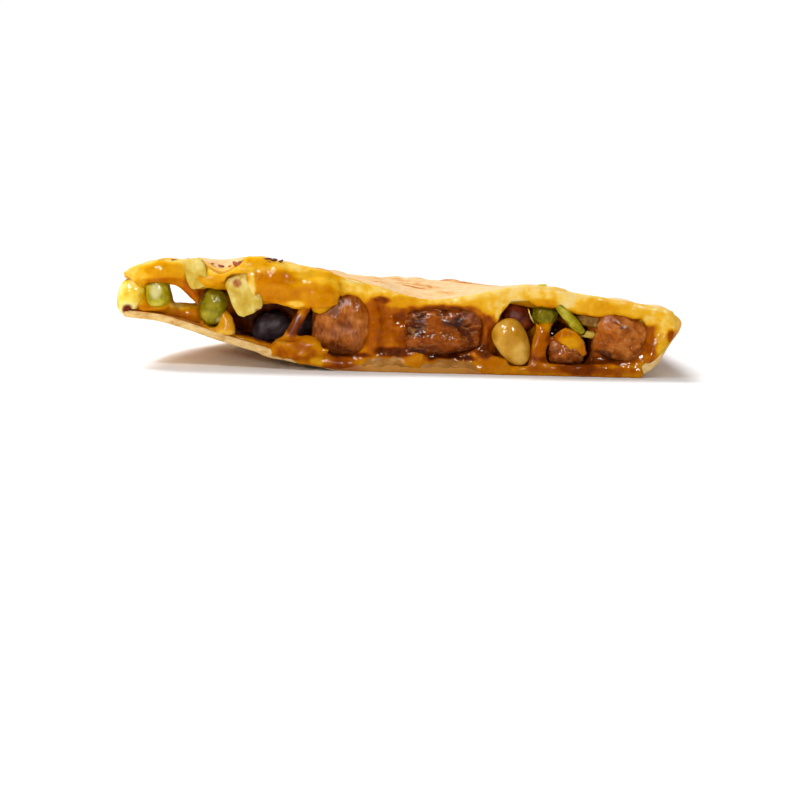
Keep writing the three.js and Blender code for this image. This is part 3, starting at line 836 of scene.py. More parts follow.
# Stains on the pieces: place, half sizes. Burnt chicken, the dark tip of a kernel, browned onion and
# the pale heart of a slice of pepper.
CHARRED = [
    ((12.6, -2, 11.8), (3.0, 3, 1.6)), ((3.4, -1, 5.2), (3, 3, 1)), ((46.6, 0, 4.6), (2.2, 3, 2.0)),
    ((-12, -2, 4.2), (4, 3, 0.9)), ((50.4, 0, 11.4), (1.8, 1.4, 0.7)),
]
DARK_TIP = [((-61.9, -0.6, 12.9), (1.4, 3, 1.2)), ((29.4, -1, 2.6), (0.8, 2, 0.8))]
BROWNED = [((-36.9, -2.4, 19.6), (1.1, 1.2, 1.0)), ((-31.9, -2.4, 13.6), (0.8, 1, 0.5))]
PALE_HEART = [((-55.4, -1, 17.2), (1.4, 1.8, 1.7)), ((-40.6, -0.4, 10.6), (1, 1, 1.2))]


def paint_chicken(board, at):
    own = board.attribute("own", "Vector")
    tone, stain, rise = board.attributes("tone", "stain", "rise")
    lump, fibre, grain = board.attributes("lump", "fibre", "grain")
    threads = board.noise(board.place(board.warp(own, 4, 1.6), (1.0, 1.0, 0.25)), 0.7, 1, 0.5)
    blotch = board.noise(own, 3.2, 3, 0.5, seed=3.0)
    pits = board.noise(at, 1.1, 4, 0.68, seed=6.0)
    freckles = board.noise(at, 1.3, 3, 0.6, seed=16.0)
    char = (board.noise(at, 1.8, 4, 0.75, seed=9.0) + stain * 0.32).step(0.62, 0.92)
    # Painted light and shade on the relief: raised lumps, fibres and grain come out paler and the low
    # parts darker, mixed with blotches of the meat's own tone.
    height = lump * 0.38 + fibre * 0.1 + grain * 0.12 + blotch * 0.4
    deep = board.ramp(
        height, (0.36, 36, 8, 0), (0.46, 80, 28, 0), (0.54, 126, 54, 6), (0.64, 182, 98, 30))
    pale = board.ramp(
        height, (0.36, 108, 42, 0), (0.46, 162, 82, 18), (0.54, 200, 118, 46), (0.64, 238, 178, 104))
    flesh = board.blend(tone, deep, pale)
    stringy = board.blend(threads.step(0.5, 0.68) * 0.2, flesh, (226, 158, 92))
    freckled = board.blend(freckles.step(0.54, 0.72) * 0.24, stringy, (216, 136, 62))
    pitted_share = pits.step(0.42, 0.3) * (0.5 - tone * 0.3).clamp()
    pitted = board.blend(pitted_share, freckled, (58, 14, 0))
    sauce = board.noise(at, 6, 2, 0.5, seed=12.0).step(0.5, 0.62) * 0.4 + (tone - 1.0).clamp()
    glazed = board.blend(sauce, pitted, (170, 84, 2))
    # Darker towards the foot of each piece: partly sauce pooled there, partly painted shade.
    pooled_sauce_and_shade = board.blend(rise.step(0.36, 0.04) * 0.6, glazed, (60, 16, 0))
    colour = board.blend(char * 0.85, pooled_sauce_and_shade, (40, 28, 30))
    relief = board.bump(threads, 0.4, 0.7)
    relief = board.bump(board.noise(at, 1.4, 1, 0.5, seed=8.0), 0.38, 0.7, relief)
    wet = board.noise(at, 3.6, 1, 0.5, seed=21.0)
    rough = 0.1 + wet.step(0.52, 0.66) * 0.3
    return {"Base Color": colour, "Roughness": rough, "Normal": relief}


def paint_corn(board, at):
    tone, stain = board.attributes("tone", "stain")
    cloudy = board.noise(board.attribute("own", "Vector"), 3.4, 2, 0.5, seed=2.0)
    rich = board.ramp(cloudy, (0.3, 170, 98, 0), (0.5, 198, 130, 0), (0.75, 222, 158, 8))
    butter = board.ramp(cloudy, (0.3, 222, 172, 10), (0.5, 242, 208, 78), (0.7, 252, 234, 160))
    soft = board.ramp(cloudy, (0.3, 176, 116, 8), (0.52, 202, 146, 38), (0.7, 224, 176, 78))
    bright = board.blend(tone.step(0.0, 0.5), rich, butter)
    skin = board.blend(tone.step(0.5, 1.0), bright, soft)
    colour = board.blend(stain, skin, (108, 26, 0))
    relief = board.bump(board.noise(at, 1.1, 2, 0.5), 0.1, 0.5)
    return {"Base Color": colour, "Roughness": 0.16, "Normal": relief}


def paint_bean(board, at):
    own = board.attribute("own", "Vector")
    cloudy = board.noise(own, 2.6, 3, 0.6)
    black = board.ramp(cloudy, (0.35, 42, 28, 28), (0.55, 76, 62, 66), (0.75, 112, 100, 110))
    red = board.ramp(cloudy, (0.35, 72, 18, 0), (0.55, 124, 44, 4), (0.75, 160, 72, 12))
    colour = board.blend(board.attribute("tone"), black, red)
    relief = board.bump(board.noise(own, 1.1, 3, 0.6), 0.2, 0.7)
    return {"Base Color": colour, "Roughness": 0.34 + cloudy * 0.2, "Normal": relief}


def paint_pepper(board, at):
    own = board.attribute("own", "Vector")
    tone, stain = board.attributes("tone", "stain")
    cloudy = board.noise(own, 2.4, 3, 0.6)
    veins = board.noise(board.place(own, (1, 1, 0.25)), 0.8, 2, 0.5)
    deep = board.ramp(cloudy, (0.3, 72, 64, 0), (0.5, 114, 102, 0), (0.75, 158, 138, 0))
    pale = board.ramp(cloudy, (0.3, 132, 118, 0), (0.5, 172, 156, 12), (0.72, 210, 196, 76))
    colour = board.blend(tone, deep, pale)
    colour = board.blend(veins.step(0.55, 0.75) * 0.18, colour, (204, 186, 62))
    colour = board.blend(stain * 0.65, colour, (216, 208, 150))
    return {"Base Color": colour, "Roughness": 0.16, "Normal": board.bump(veins, 0.12, 0.6)}


def paint_onion(board, at):
    own = board.attribute("own", "Vector")
    tone, stain = board.attributes("tone", "stain")
    veins = board.noise(board.place(own, (1, 1, 0.08)), 0.8, 2, 0.5)
    cloudy = board.noise(own, 3, 3, 0.6)
    deep = board.ramp(cloudy, (0.3, 110, 62, 0), (0.7, 158, 112, 8))
    pale = board.ramp(cloudy, (0.3, 208, 164, 30), (0.5, 228, 196, 70), (0.7, 244, 226, 132))
    flesh = board.blend(tone, deep, pale)
    colour = board.blend(stain * 0.85, flesh, (158, 66, 0))
    colour = board.blend(veins.step(0.5, 0.7) * 0.14, colour, (246, 230, 140))
    return {"Base Color": colour, "Roughness": 0.3, "Normal": board.bump(veins, 0.2, 0.6)}


def make_filling():
    juicy = {"subsurface_weight": 0.25, "subsurface_scale": 2.5 * MM}
    chicken = finish("chicken", paint_chicken, specular_ior_level=0.3)
    corn = finish(
        "sweetcorn", paint_corn, specular_ior_level=0.5, subsurface_radius=(1.0, 0.6, 0.1), **juicy)
    bean = finish("beans", paint_bean, specular_ior_level=0.25)
    pepper = finish(
        "green_pepper", paint_pepper, specular_ior_level=0.36, subsurface_radius=(0.7, 1.0, 0.2),
        **juicy)
    onion = finish(
        "onion", paint_onion, specular_ior_level=0.25, subsurface_radius=(1.0, 0.9, 0.3), **juicy)
    make_pieces(
        "chicken", CHICKEN, chicken, CHARRED,
        lumps=(5, 0.8), grain=(1.6, 0.12), fibres=(1.0, 0.12), rounding=4, seed=2.0,
        square=(2.6, 3.2))
    make_pieces(
        "browned_chicken", BROWNED_CHICKEN, chicken, CHARRED,
        lumps=(3.4, 0.9), grain=(1.2, 0.4), fibres=(1.2, 0.2), rounding=3, seed=5.0,
        square=(2.6, 4.2))
    make_pieces(
        "sweetcorn", CORN, corn, DARK_TIP, lumps=(6, 0.12), grain=(1.6, 0.03), rounding=12)
    make_pieces(
        "beans", BEANS, bean, lumps=(3.5, 0.25), grain=(1.4, 0.08), rounding=10)
    make_pieces(
        "green_pepper", PEPPERS, pepper, PALE_HEART,
        lumps=(3.0, 0.45), grain=(1.0, 0.06), rounding=3)
    make_pieces(
        "onion", ONIONS, onion, BROWNED,
        lumps=(1.8, 0.24), grain=(0.7, 0.12), rounding=0, square=(3.6, 9))


# ---------------------------------------------------------------- melted cheese

# Strings of melted cheese. Each runs through points (x, y, z) with half sizes (x, y, z).
STRINGS = [
    # the crust from the torn left-hand end to the clean cut, down the end's kernel, round its
    # slice of pepper and behind it
    [(-60.8, 0.4, 21.0, 1.4, 1.5, 1.5), (-57.5, -0.3, 21.6, 2.2, 2.0, 2.0),
     (-53.5, -0.9, 22.0, 2.6, 2.1, 2.2), (-50.2, -0.5, 22.0, 2.0, 1.8, 2.0)],
    [(-49, 1.4, 21.2, 2.0, 1.9, 2.2), (-45, 1.4, 20.6, 2.2, 1.8, 2.4),
     (-42.6, -0.6, 20.8, 1.5, 1.6, 1.5), (-40.6, -0.2, 20.2, 1.5, 1.5, 1.2)],
    [(-59.6, 0.6, 20.2, 1.4, 1.6, 1.4), (-59.0, 0.9, 17.6, 1.0, 1.6, 1.6),
     (-59.2, 1.2, 14.9, 1.0, 1.8, 1.4), (-58.0, 1.4, 13.0, 1.6, 1.8, 0.9)],
    [(-57.6, 0.8, 19.8, 1.4, 1.8, 1.0), (-54.6, 0.6, 20.0, 1.8, 2.0, 1.1),
     (-51, 1.2, 19.7, 1.6, 2.0, 1.2)],
    [(-58.0, 2.2, 18.4, 0.9, 1.8, 1.4), (-58.1, 2.4, 16, 0.9, 1.8, 1.6),
     (-57.4, 2.2, 13.8, 1.3, 1.8, 0.9)],
    [(-57.0, 1.6, 13.2, 1.6, 2.0, 1.0), (-54.4, 2.2, 13.5, 1.8, 2.4, 1.0),
     (-52.6, 3.6, 14.2, 0.9, 2.4, 1.2), (-52.8, 3.8, 16.6, 0.6, 2.4, 1.2)],
    [(-57, 5, 12.4, 2, 3, 1.4), (-52, 5.6, 12.2, 2.4, 3, 2.2), (-47, 6, 11.8, 2.4, 3, 2.5),
     (-43.5, 8, 11.4, 2, 3, 3)],
    [(-52, 1.0, 20.2, 1.6, 2.2, 1.4), (-49.2, 1.3, 19.4, 1.5, 2.2, 1.5),
     (-47.3, 1.6, 17.6, 1.3, 2.2, 1.7), (-46.4, 1.9, 15.9, 1.1, 2.0, 1.0)],
    [(-45.4, -0.2, 19.3, 1.6, 1.6, 1.0), (-42.6, 0.2, 19.2, 1.8, 1.9, 1.2),
     (-41, 1.4, 18.8, 1.6, 2.0, 1.2)],
    [(-37.2, -0.2, 22.0, 1.4, 1.4, 1.1), (-34.8, -0.6, 23.3, 1.5, 1.5, 1.7),
     (-32, -0.6, 24.0, 1.8, 1.5, 1.4), (-28.5, -0.4, 23.6, 2.0, 1.5, 1.4),
     (-24, -0.4, 22.5, 2.0, 1.4, 1.3), (-19, -0.2, 21.2, 2.0, 1.4, 1.2),
     (-15, 0, 19.9, 1.7, 1.3, 1.1)],
    # the hanging lip
    [(-32.4, -1.0, 20.4, 1.5, 1.1, 2.8), (-29.5, -1.5, 19.6, 2.6, 1.3, 3.8),
     (-26, -1.7, 19.2, 2.8, 1.4, 4.0), (-22.6, -1.3, 19.2, 2.4, 1.3, 3.2),
     (-20, -0.2, 20.2, 2.2, 1.2, 1.6)],
    [(-31.2, -0.8, 16.4, 1.1, 0.7, 1.1), (-28.4, -1.2, 15.9, 1.5, 0.7, 0.8),
     (-25.4, -1.6, 15.2, 1.2, 0.7, 1.0), (-23.2, -1.7, 14.8, 1.2, 0.7, 1.1),
     (-21.8, -1.5, 15.8, 0.8, 0.7, 1.0)],
    [(-34.4, -2.0, 21.0, 0.5, 0.5, 1.3), (-33.6, -2.1, 18.6, 0.45, 0.5, 1.5),
     (-32.4, -1.9, 16.4, 0.5, 0.5, 1.2)],
    [(-21.6, -0.6, 19.6, 1.4, 1.0, 1.2), (-18.6, -1.0, 20.0, 1.9, 1.2, 1.3),
     (-15.6, -0.6, 19.4, 1.6, 1.3, 1.2), (-13.4, 0.4, 18.2, 1.0, 1.4, 1.4)],
    [(-22.0, -1.0, 18.2, 1.0, 0.8, 1.2), (-21.6, -0.8, 16.2, 0.7, 0.7, 1.3),
     (-21.2, -0.4, 14.8, 0.5, 0.6, 0.8)],
    [(-22.8, -1.7, 19.4, 1.1, 0.8, 1.2), (-20.6, -2.2, 19.6, 1.4, 0.9, 1.4),
     (-17.6, -2.4, 19.9, 1.5, 0.9, 1.4), (-14.8, -1.5, 19.2, 1.2, 1.0, 1.4)],
    [(-20.8, -2.1, 18.0, 1.2, 0.8, 1.5), (-18.6, -2.7, 17.9, 1.5, 0.6, 1.5),
     (-16.2, -2.4, 18.0, 1.3, 0.7, 1.4), (-14.4, -1.4, 17.6, 0.9, 0.8, 1.3)],
    [(-20.5, -2.1, 15.9, 1.0, 0.7, 1.4), (-18.4, -2.7, 15.5, 1.4, 0.6, 1.4),
     (-16.2, -2.5, 15.6, 1.2, 0.6, 1.3), (-14.6, -1.5, 16.0, 0.8, 0.7, 1.2)],
    [(-22.4, -1.7, 18.0, 0.8, 0.8, 1.2), (-21.4, -1.9, 16.2, 0.8, 0.8, 1.2),
     (-20.8, -1.9, 14.8, 0.6, 0.7, 0.9)],
    # under the onion, the strand down to the puddle, and the puddle with its lumps
    [(-40.6, 2.2, 12.6, 1.4, 1.6, 1.4), (-39.4, 1.4, 10.6, 1.8, 1.6, 1.9),
     (-39.4, 0.8, 8.4, 2.3, 1.6, 1.1), (-42.8, 0.6, 8.8, 1.3, 1.0, 0.7)],
    [(-21.2, 1.4, 14.8, 1.4, 0.9, 1.2), (-22.6, 1.0, 12.2, 1.3, 0.8, 1.2),
     (-24.2, 0.7, 9.2, 1.3, 0.8, 1.2), (-25.2, 0.5, 6.8, 1.6, 1.0, 1.0)],
    [(-28.6, 0.8, 4.6, 1.2, 1.4, 0.9), (-26.4, 0.2, 4.6, 1.9, 1.8, 2.0),
     (-23.2, -0.3, 4.4, 2.4, 2.0, 2.4), (-20, -0.2, 4.6, 2.2, 2.0, 2.2),
     (-17.6, 0.4, 3.4, 1.8, 1.8, 1.7)],
    [(-27.4, -1.3, 6.2, 0.8, 0.7, 0.6), (-25, -1.9, 5.8, 0.8, 0.7, 0.7),
     (-22.6, -2.1, 6.4, 0.7, 0.6, 0.6)],
    [(-24.6, -2.0, 3.4, 0.7, 0.7, 0.6), (-22, -2.2, 3.6, 0.8, 0.6, 0.7),
     (-19.8, -1.9, 4.8, 0.7, 0.6, 0.6)],
    [(-20.8, -1.7, 6.4, 0.8, 0.6, 0.7), (-18.8, -1.4, 5.4, 0.7, 0.6, 0.9),
     (-18, -1.0, 3.6, 0.6, 0.6, 0.8)],
    [(-22, -0.5, 2.0, 1.8, 1.0, 0.9), (-18.6, -0.5, 1.9, 2.0, 0.9, 0.9),
     (-15.5, -0.2, 1.6, 1.8, 1.0, 1.2), (-12, 0.2, 1.6, 1.8, 1.0, 0.9),
     (-9, 0.5, 1.5, 1.2, 1.0, 0.6)],
    # round the chicken
    [(-11, 2.4, 18.2, 2.2, 2.6, 0.8), (-7, 2.2, 17.6, 2.0, 2.6, 1.2)],
    [(-8.2, 0.2, 17.0, 1.3, 0.9, 0.9), (-6.4, 0.0, 15.2, 1.2, 0.8, 1.4),
     (-5.6, 0.0, 12.2, 1.2, 0.8, 1.7), (-5.5, 0.0, 8.8, 1.2, 0.8, 1.7),
     (-6.2, 0.2, 5.8, 1.3, 0.8, 1.4), (-8, 0.6, 3.8, 1.5, 0.8, 0.8)],
    [(-6, 1.4, 18.2, 1.4, 1.8, 0.8), (-3, 1.2, 17.0, 1.4, 1.6, 1.0),
     (0.4, 1.2, 15.6, 1.5, 1.6, 0.9), (4, 1.4, 15.0, 1.4, 1.6, 0.6)],
    # pale and golden along the floor
    [(-8.6, 1.0, 2.4, 1.2, 1.3, 0.8), (-5, 1.0, 2.6, 1.8, 1.3, 0.9),
     (-1.6, 1.0, 2.4, 1.8, 1.3, 0.9), (1, 1.0, 2.2, 1.2, 1.3, 0.7)],
    [(6.4, 1.0, 2.3, 1.2, 1.3, 0.7), (10, 1.0, 2.5, 1.8, 1.3, 0.8), (14, 1.0, 2.4, 1.8, 1.3, 0.8),
     (17, 1.0, 2.2, 1.4, 1.3, 0.7)],
    [(3.3, -0.3, 3.4, 2.0, 1.5, 1.6), (4.6, 0.4, 2.7, 2.2, 1.6, 1.0)],
    [(17.6, 1.6, 2.5, 1.6, 1.8, 0.9), (20.4, 0.8, 3.0, 2.0, 1.6, 1.5),
     (23.2, 0.6, 2.7, 1.9, 1.4, 1.2)],
    # beside the middle kernel, and two threads over its pocket
    [(19.4, 1.6, 16.4, 2.0, 2.4, 1.5), (21.4, 1.6, 15.0, 1.9, 2.4, 1.6),
     (21.4, 2.2, 12.8, 1.5, 2.2, 1.8), (20.9, 3.6, 9.4, 1.2, 2.2, 2.4),
     (20.8, 3.6, 5.6, 1.3, 2.2, 2.2)],
    [(22.0, -0.1, 12.2, 0.3, 0.5, 0.5), (22.7, 0.2, 14.2, 0.3, 0.5, 0.8),
     (24.2, 0.4, 15.9, 0.4, 0.6, 0.6)],
    [(29.0, 0.6, 15.2, 0.4, 0.5, 0.6), (29.6, 0.4, 13.4, 0.3, 0.5, 0.8),
     (30.4, 0.3, 11.9, 0.3, 0.4, 0.5)],
    # the wide strand and the flap over the small piece
    [(33.8, 3.0, 12.0, 1.6, 1.4, 1.2), (32.6, 1.8, 10.2, 1.8, 1.3, 1.4),
     (31.8, 1.0, 7.4, 1.9, 1.3, 1.8), (31.4, 0.7, 4.4, 2.0, 1.3, 1.8),
     (31.8, 0.5, 2.2, 2.6, 1.3, 1.0)],
    [(34.2, 1.4, 7.4, 0.6, 0.6, 0.6), (35.6, 0.8, 9.2, 0.6, 0.6, 0.6),
     (37.6, 0.4, 10.6, 0.7, 0.5, 0.7), (39.8, 0.2, 9.8, 0.7, 0.5, 0.8),
     (41.6, 0.1, 7.8, 0.6, 0.5, 0.9), (42.4, 0.2, 5.4, 0.4, 0.5, 0.8)],
    [(36.4, 0.5, 8.3, 1.0, 0.6, 0.8), (38.0, 0.1, 8.5, 1.6, 0.6, 1.6),
     (39.8, 0.0, 7.8, 1.5, 0.6, 1.6), (41.0, 0.1, 6.4, 0.9, 0.5, 1.4),
     (41.9, 0.2, 4.8, 0.4, 0.5, 0.7)],
    [(38.6, 0.0, 7.0, 0.7, 0.5, 0.8), (38.9, 0.0, 5.9, 0.3, 0.4, 0.5)],
    # along the floor of the fold and up its side
    [(34, 1.2, 2.0, 2.4, 1.8, 0.8), (39, 1.0, 1.9, 2.4, 1.8, 0.7), (44.4, 0.8, 2.1, 2.6, 1.8, 1.0),
     (49.6, 0.8, 2.3, 2.6, 1.8, 1.3), (53.4, 1.2, 2.9, 1.8, 1.8, 1.5)],
    [(53.8, 3.4, 3.4, 1.8, 2.8, 1.7), (56.2, 3.0, 5.4, 1.7, 2.8, 2.0),
     (57.9, 2.8, 8.4, 1.7, 2.8, 2.1), (58.6, 2.6, 11.0, 1.9, 2.8, 1.8),
     (57.4, 2.4, 13.2, 2.4, 2.6, 1.3)],
    [(55.0, 2, 2.8, 1.3, 2.4, 1.1), (57.4, 1.8, 5.4, 1.4, 2.4, 1.5),
     (59.3, 1.7, 8.4, 1.4, 2.4, 1.6), (60.5, 1.6, 11.1, 1.2, 2.4, 1.3),
     (60.2, 1.6, 12.8, 1.3, 2.2, 1.0)],
    [(59.4, 0.1, 14.5, 1.2, 0.8, 1.0), (61.2, 0.1, 13.9, 1.1, 0.8, 0.9),
     (62.0, 0.1, 12.4, 0.9, 0.8, 1.1), (61.7, 0.1, 10.9, 0.9, 0.8, 1.2),
     (60.9, 0.1, 9.2, 0.9, 0.8, 1.2), (59.7, 0.1, 7.3, 0.9, 0.8, 1.1),
     (58.4, 0.1, 5.7, 0.9, 0.8, 1.0), (56.9, 0.1, 4.1, 1.0, 0.8, 0.9)],
    # under the top sheet, over the curl of pepper
    [(38, 1.8, 15.9, 1.8, 2.2, 1.4), (41.4, 1.4, 15.4, 2.4, 2.2, 1.7),
     (45, 1.4, 14.9, 2.4, 2.2, 1.7), (48.4, 1.4, 15.2, 1.8, 2.2, 1.1),
     (53, 1.4, 14.4, 2.2, 2.2, 1.1)],
    [(31.4, 1.4, 17.0, 2.2, 2.2, 1.6), (35, 1.4, 16.8, 2.0, 2.2, 1.6)],
    # at the lower right of the upper onion
    [(-45.2, -1.9, 20.6, 0.8, 0.6, 0.8), (-43.8, -2.0, 19.6, 0.9, 0.6, 0.9),
     (-42.4, -1.4, 19.4, 0.9, 0.8, 0.9)],
    # deep between the pieces
    [(-44, 8, 15.6, 3, 3.2, 3), (-40, 8.6, 15, 3, 3, 4), (-37.5, 9, 14.6, 3, 2.6, 3.4)],
    [(30.6, 7.4, 9, 3, 2.6, 3.4), (30, 7.4, 5, 3, 2.6, 2.6), (36, 8.4, 9, 3, 2.4, 3)],
    [(45, 8.0, 5, 2.4, 2.6, 2.6), (43, 8.2, 9, 2.4, 2.4, 2.6), (38, 8.0, 12.6, 3, 2.6, 1.6)],
    [(22, 7.0, 11, 3, 2.6, 4), (21, 6.8, 5.6, 3, 2.6, 3)],
    [(27.5, 5.6, 16.6, 3, 2.6, 1.3), (33, 5.0, 15.6, 3, 2.6, 1.2)],
]

# Beds of sauce and cheese that the chicken is sunk in: lowest and highest x, lowest and highest z,
# and depth.
BEDS = [(-19, 20.6, 2.8, 16, 3.5), (-5.6, 1.0, 3.6, 15.4, 1.6), (44, 57, 3.6, 14.6, 3.7)]

# The bands of cheese: how close their lumps stand, how far the one under the top sheet and the one
# on the bottom sheet reach, where the one at the floor's edge begins, and between which places it
# comes to run over the cut edge of the bottom sheet.
BAND_STEP = 0.8
TOP_BAND = (-60, 61)
FLOOR_BAND = (-44, 55)
FLOOR_EDGE_FROM = -13
RUNS_OVER_FLOOR = (16, 20)
CLEAN_CUT = (-14, -10)  # between these places the torn left-hand end becomes a clean cut

# Pieces that sauce has crept up, each to the right of a line.
COLLARS = {"meat_left": -16.5, "meat_char": -9, "meat_fold": 46.5}

# How far the sauce browns the cheese round each piece of chicken, and its tone there.
SAUCE = {
    "meat_left": (1.6, 0.7), "meat_gold": (1.8, 0.64), "meat_char": (1.8, 0.76),
    "meat_fold": (1.8, 0.68), "meat_small": (1.0, 0.7),
}

# Where the cheese darkens or pales, from stains and, where marked, from painted shade and painted
# light: place, half sizes, and tone from 0, pale yellow, over 0.5, orange, to 1, brown.
CHEESE_STAINS_SHADE_AND_LIGHT = [
    ((-59, -1, 21.4), (3.6, 4, 2.2), 0.12), ((-53, -1.5, 22), (5, 3, 2), 0.3),
    ((-53, 0.4, 19.8), (5, 4, 0.9), 0.5), ((-59, 0, 16.6), (1.4, 3, 3.4), 0.26),
    ((-58, 0, 13.2), (2.2, 3, 1), 0.5), ((-54, 2, 13.6), (2.6, 4, 1.2), 0.34),
    # the second: the pale floor of the gape at the left-hand end, painted light as if lit from behind
    ((-50, 6, 11.6), (8, 6, 2.6), 0.46), ((-49.5, 6, 14.2), (5, 6, 1.3), 0.07),
    ((-47.6, 1, 17.6), (2.6, 4, 3.4), 0.62), ((-50.6, 1, 20), (2.4, 3, 1.1), 0.5),
    ((-43.4, 0, 19.6), (3, 3, 1.8), 0.3), ((-32, -2, 24.4), (4, 3, 1.2), 0.26),
    ((-27.5, -2, 20.9), (6.4, 3, 1.7), 0.53), ((-27, -2.5, 17.0), (5, 2, 1.5), 0.48),
    ((-23.6, -2, 15.2), (2.6, 2, 0.8), 0.1), ((-17.8, -2.8, 16.6), (3.6, 2, 3.8), 0.43),
    ((-19, -1, 21.6), (6, 3, 1.2), 0.2), ((-17, 0, 19.6), (3.4, 3, 1.2), 0.36),
    ((-33.6, -2.4, 18.8), (0.9, 1.4, 4), 0.04), ((-39.6, 1, 10.6), (2.6, 3, 3), 0.32),
    # pale foot of the cheese under the onion, partly a painted highlight; dark hollow over the black
    # bean, painted shade with dark sauce
    ((-39.6, 0, 8), (2.6, 2, 0.9), 0.12), ((-29, 7, 10), (9, 6, 5.5), 0.95),
    # the first: brown round the strand, partly painted shade in the hollow
    ((-24, 0.6, 10), (2.2, 2, 3.4), 0.82), ((-23, 0, 4.6), (5.6, 4, 3), 0.6),
    ((-18.6, -0.6, 2.2), (1.6, 2, 1.1), 0.2), ((-13.6, 0, 1.4), (4, 2, 1.9), 0.72),
    # dark lines under the two large pieces of chicken: painted shade
    ((-11, 1.6, 3.7), (6, 3, 0.8), 0.95), ((9.5, 1, 3.5), (9.5, 3, 1.0), 1.0),
    ((0.8, 0, 16.4), (4.8, 3, 1.3), 0.26), ((-4, 0.6, 1.9), (6, 3, 1.5), 0.5),
    ((10.5, 0.6, 1.9), (8, 3, 1.5), 0.5), ((3.6, 0, 3), (3, 3, 2.2), 0.48),
    ((10, 1, 14.5), (8.6, 3, 1.3), 0.76), ((20.4, 1, 15.4), (2.6, 3, 2.2), 0.12),
    # the second: the dark gap right of the charred chicken, painted shade
    ((20.6, 0, 3), (3, 3, 1.8), 0.5), ((19.4, 0.5, 5.2), (2.4, 3, 1.8), 0.88),
    ((21, 6, 9), (2.4, 4, 4), 0.95), ((31.6, 0, 6), (2.4, 4, 5), 0.56),
    ((31, 1, 2), (2.4, 3, 1.4), 0.6), ((36, 6, 9.4), (3, 4, 2.4), 1.05),
    ((38.6, -0.4, 7.6), (2.2, 1.6, 1.4), 0.26), ((41.8, 0, 6), (0.9, 2, 2.4), 0.56),
    ((36, 0.4, 9.6), (3.4, 2, 0.7), 0.55), ((43, 5, 6.4), (1.4, 4, 3.4), 1.1),
    ((44, 0, 16), (5, 3, 2), 0.25), ((37.2, 0, 17.4), (2.4, 3, 2.4), 0.03),
    ((42, 1, 3.6), (14, 3, 1.1), 0.85), ((42, 0, 1.5), (14, 3, 1.2), 0.66),
    ((41, 0, 2.0), (5, 3, 1.6), 0.82), ((57.4, 2, 8), (1.5, 4, 5), 0.7),
    ((59.2, 2, 10), (1.6, 4, 5), 0.26), ((57, 1, 13.2), (3, 3, 1.3), 0.1),
    ((31, 1, 17.2), (4, 3, 1.6), 0.32), ((22.3, 0, 14), (0.9, 1, 2.4), 0.05),
    ((29.8, 0.4, 13.4), (0.9, 1, 2.2), 0.0), ((25, 0, 17.2), (4, 3, 1.6), 0.1),
    ((31, 0, 18.6), (5, 3, 1.5), 0.07), ((-9, 0, 19), (4, 3, 1.2), 0.12),
    ((-4.6, 1, 16.4), (2.8, 3, 1.0), 0.86), ((-5.6, 0, 10.5), (3, 2, 6.4), 0.66),
    # the first: the dark foot of the sauce beside the chicken, painted shade
    ((-1, 0.5, 4.5), (5.4, 3, 1.2), 0.92), ((61, 0, 12.4), (2.2, 3, 2.4), 0.07),
    ((59.6, 0, 7), (1.6, 2, 2), 0.18), ((61.5, -0.4, 9.8), (0.9, 1, 1.5), 0.72),
]

# Where the cheese along the floor's edge takes the tan of the bottom sheet's crumb, darkened as
# painted
# shade: place, half sizes, share.
CRUMB_TAN_AND_SHADE = [((-3.0, 0, 1.3), (6.2, 3, 2.4), 1.0), ((12.0, 0, 1.3), (7.4, 3, 2.2), 1.0)]


def ball(at, half, rings=8):
    """A closed ellipsoid, as points and faces."""
    sides = rings * 2
    points = [(0, 0, 1)]
    for i in range(1, rings):
        polar_angle = math.pi * i / rings
        round_it, up = math.sin(polar_angle), math.cos(polar_angle)
        for j in range(sides):
            turn = 2 * math.pi * j / sides
            points.append((round_it * math.cos(turn), round_it * math.sin(turn), up))
    points.append((0, 0, -1))
    faces = [[0, 1 + j, 1 + (j + 1) % sides] for j in range(sides)]
    for i in range(rings - 2):
        for j in range(sides):
            a, b = 1 + i * sides + j, 1 + i * sides + (j + 1) % sides
            faces.append([a, a + sides, b + sides, b])
    last = len(points) - 1
    faces += [[last, last - sides + (j + 1) % sides, last - sides + j] for j in range(sides)]
    return np.array(points) * half + at, faces


def string(knots, pitch=0.45):
    """Overlapping ellipsoids along a path, close enough to melt into one."""
    knots = np.array(knots, float)
    balls = []
    for a, b in zip(knots, knots[1:]):
        length = np.linalg.norm(b[:3] - a[:3])
        count = max(2, math.ceil(length / (pitch * min(a[3:].min(), b[3:].min()) * 2)))
        balls += [mix(a, b, k / count) for k in range(count)]
    balls.append(knots[-1])
    return [ball(knot[:3], knot[3:]) for knot in balls]


def bed(low_x, high_x, low_z, high_z, middle, step=1.3):
    """A rough wall of sauce and cheese just behind the cut, kept between the two sheets."""
    overlap, lumpiness = 0.5, 0.35
    parts = []
    for x in np.arange(low_x, high_x, step):
        lowest, highest = bottom_edge(x) + SHEET - overlap, top_edge(x) - SHEET + overlap
        for z in np.arange(low_z, high_z, step):
            if lowest < z < highest:
                depth = middle + lumpiness * ripple(x / 1.4, 0, z / 1.4, 3)
                parts.append(ball((x, depth, z), (1.3, 1.6, 1.3), 5))
    return parts


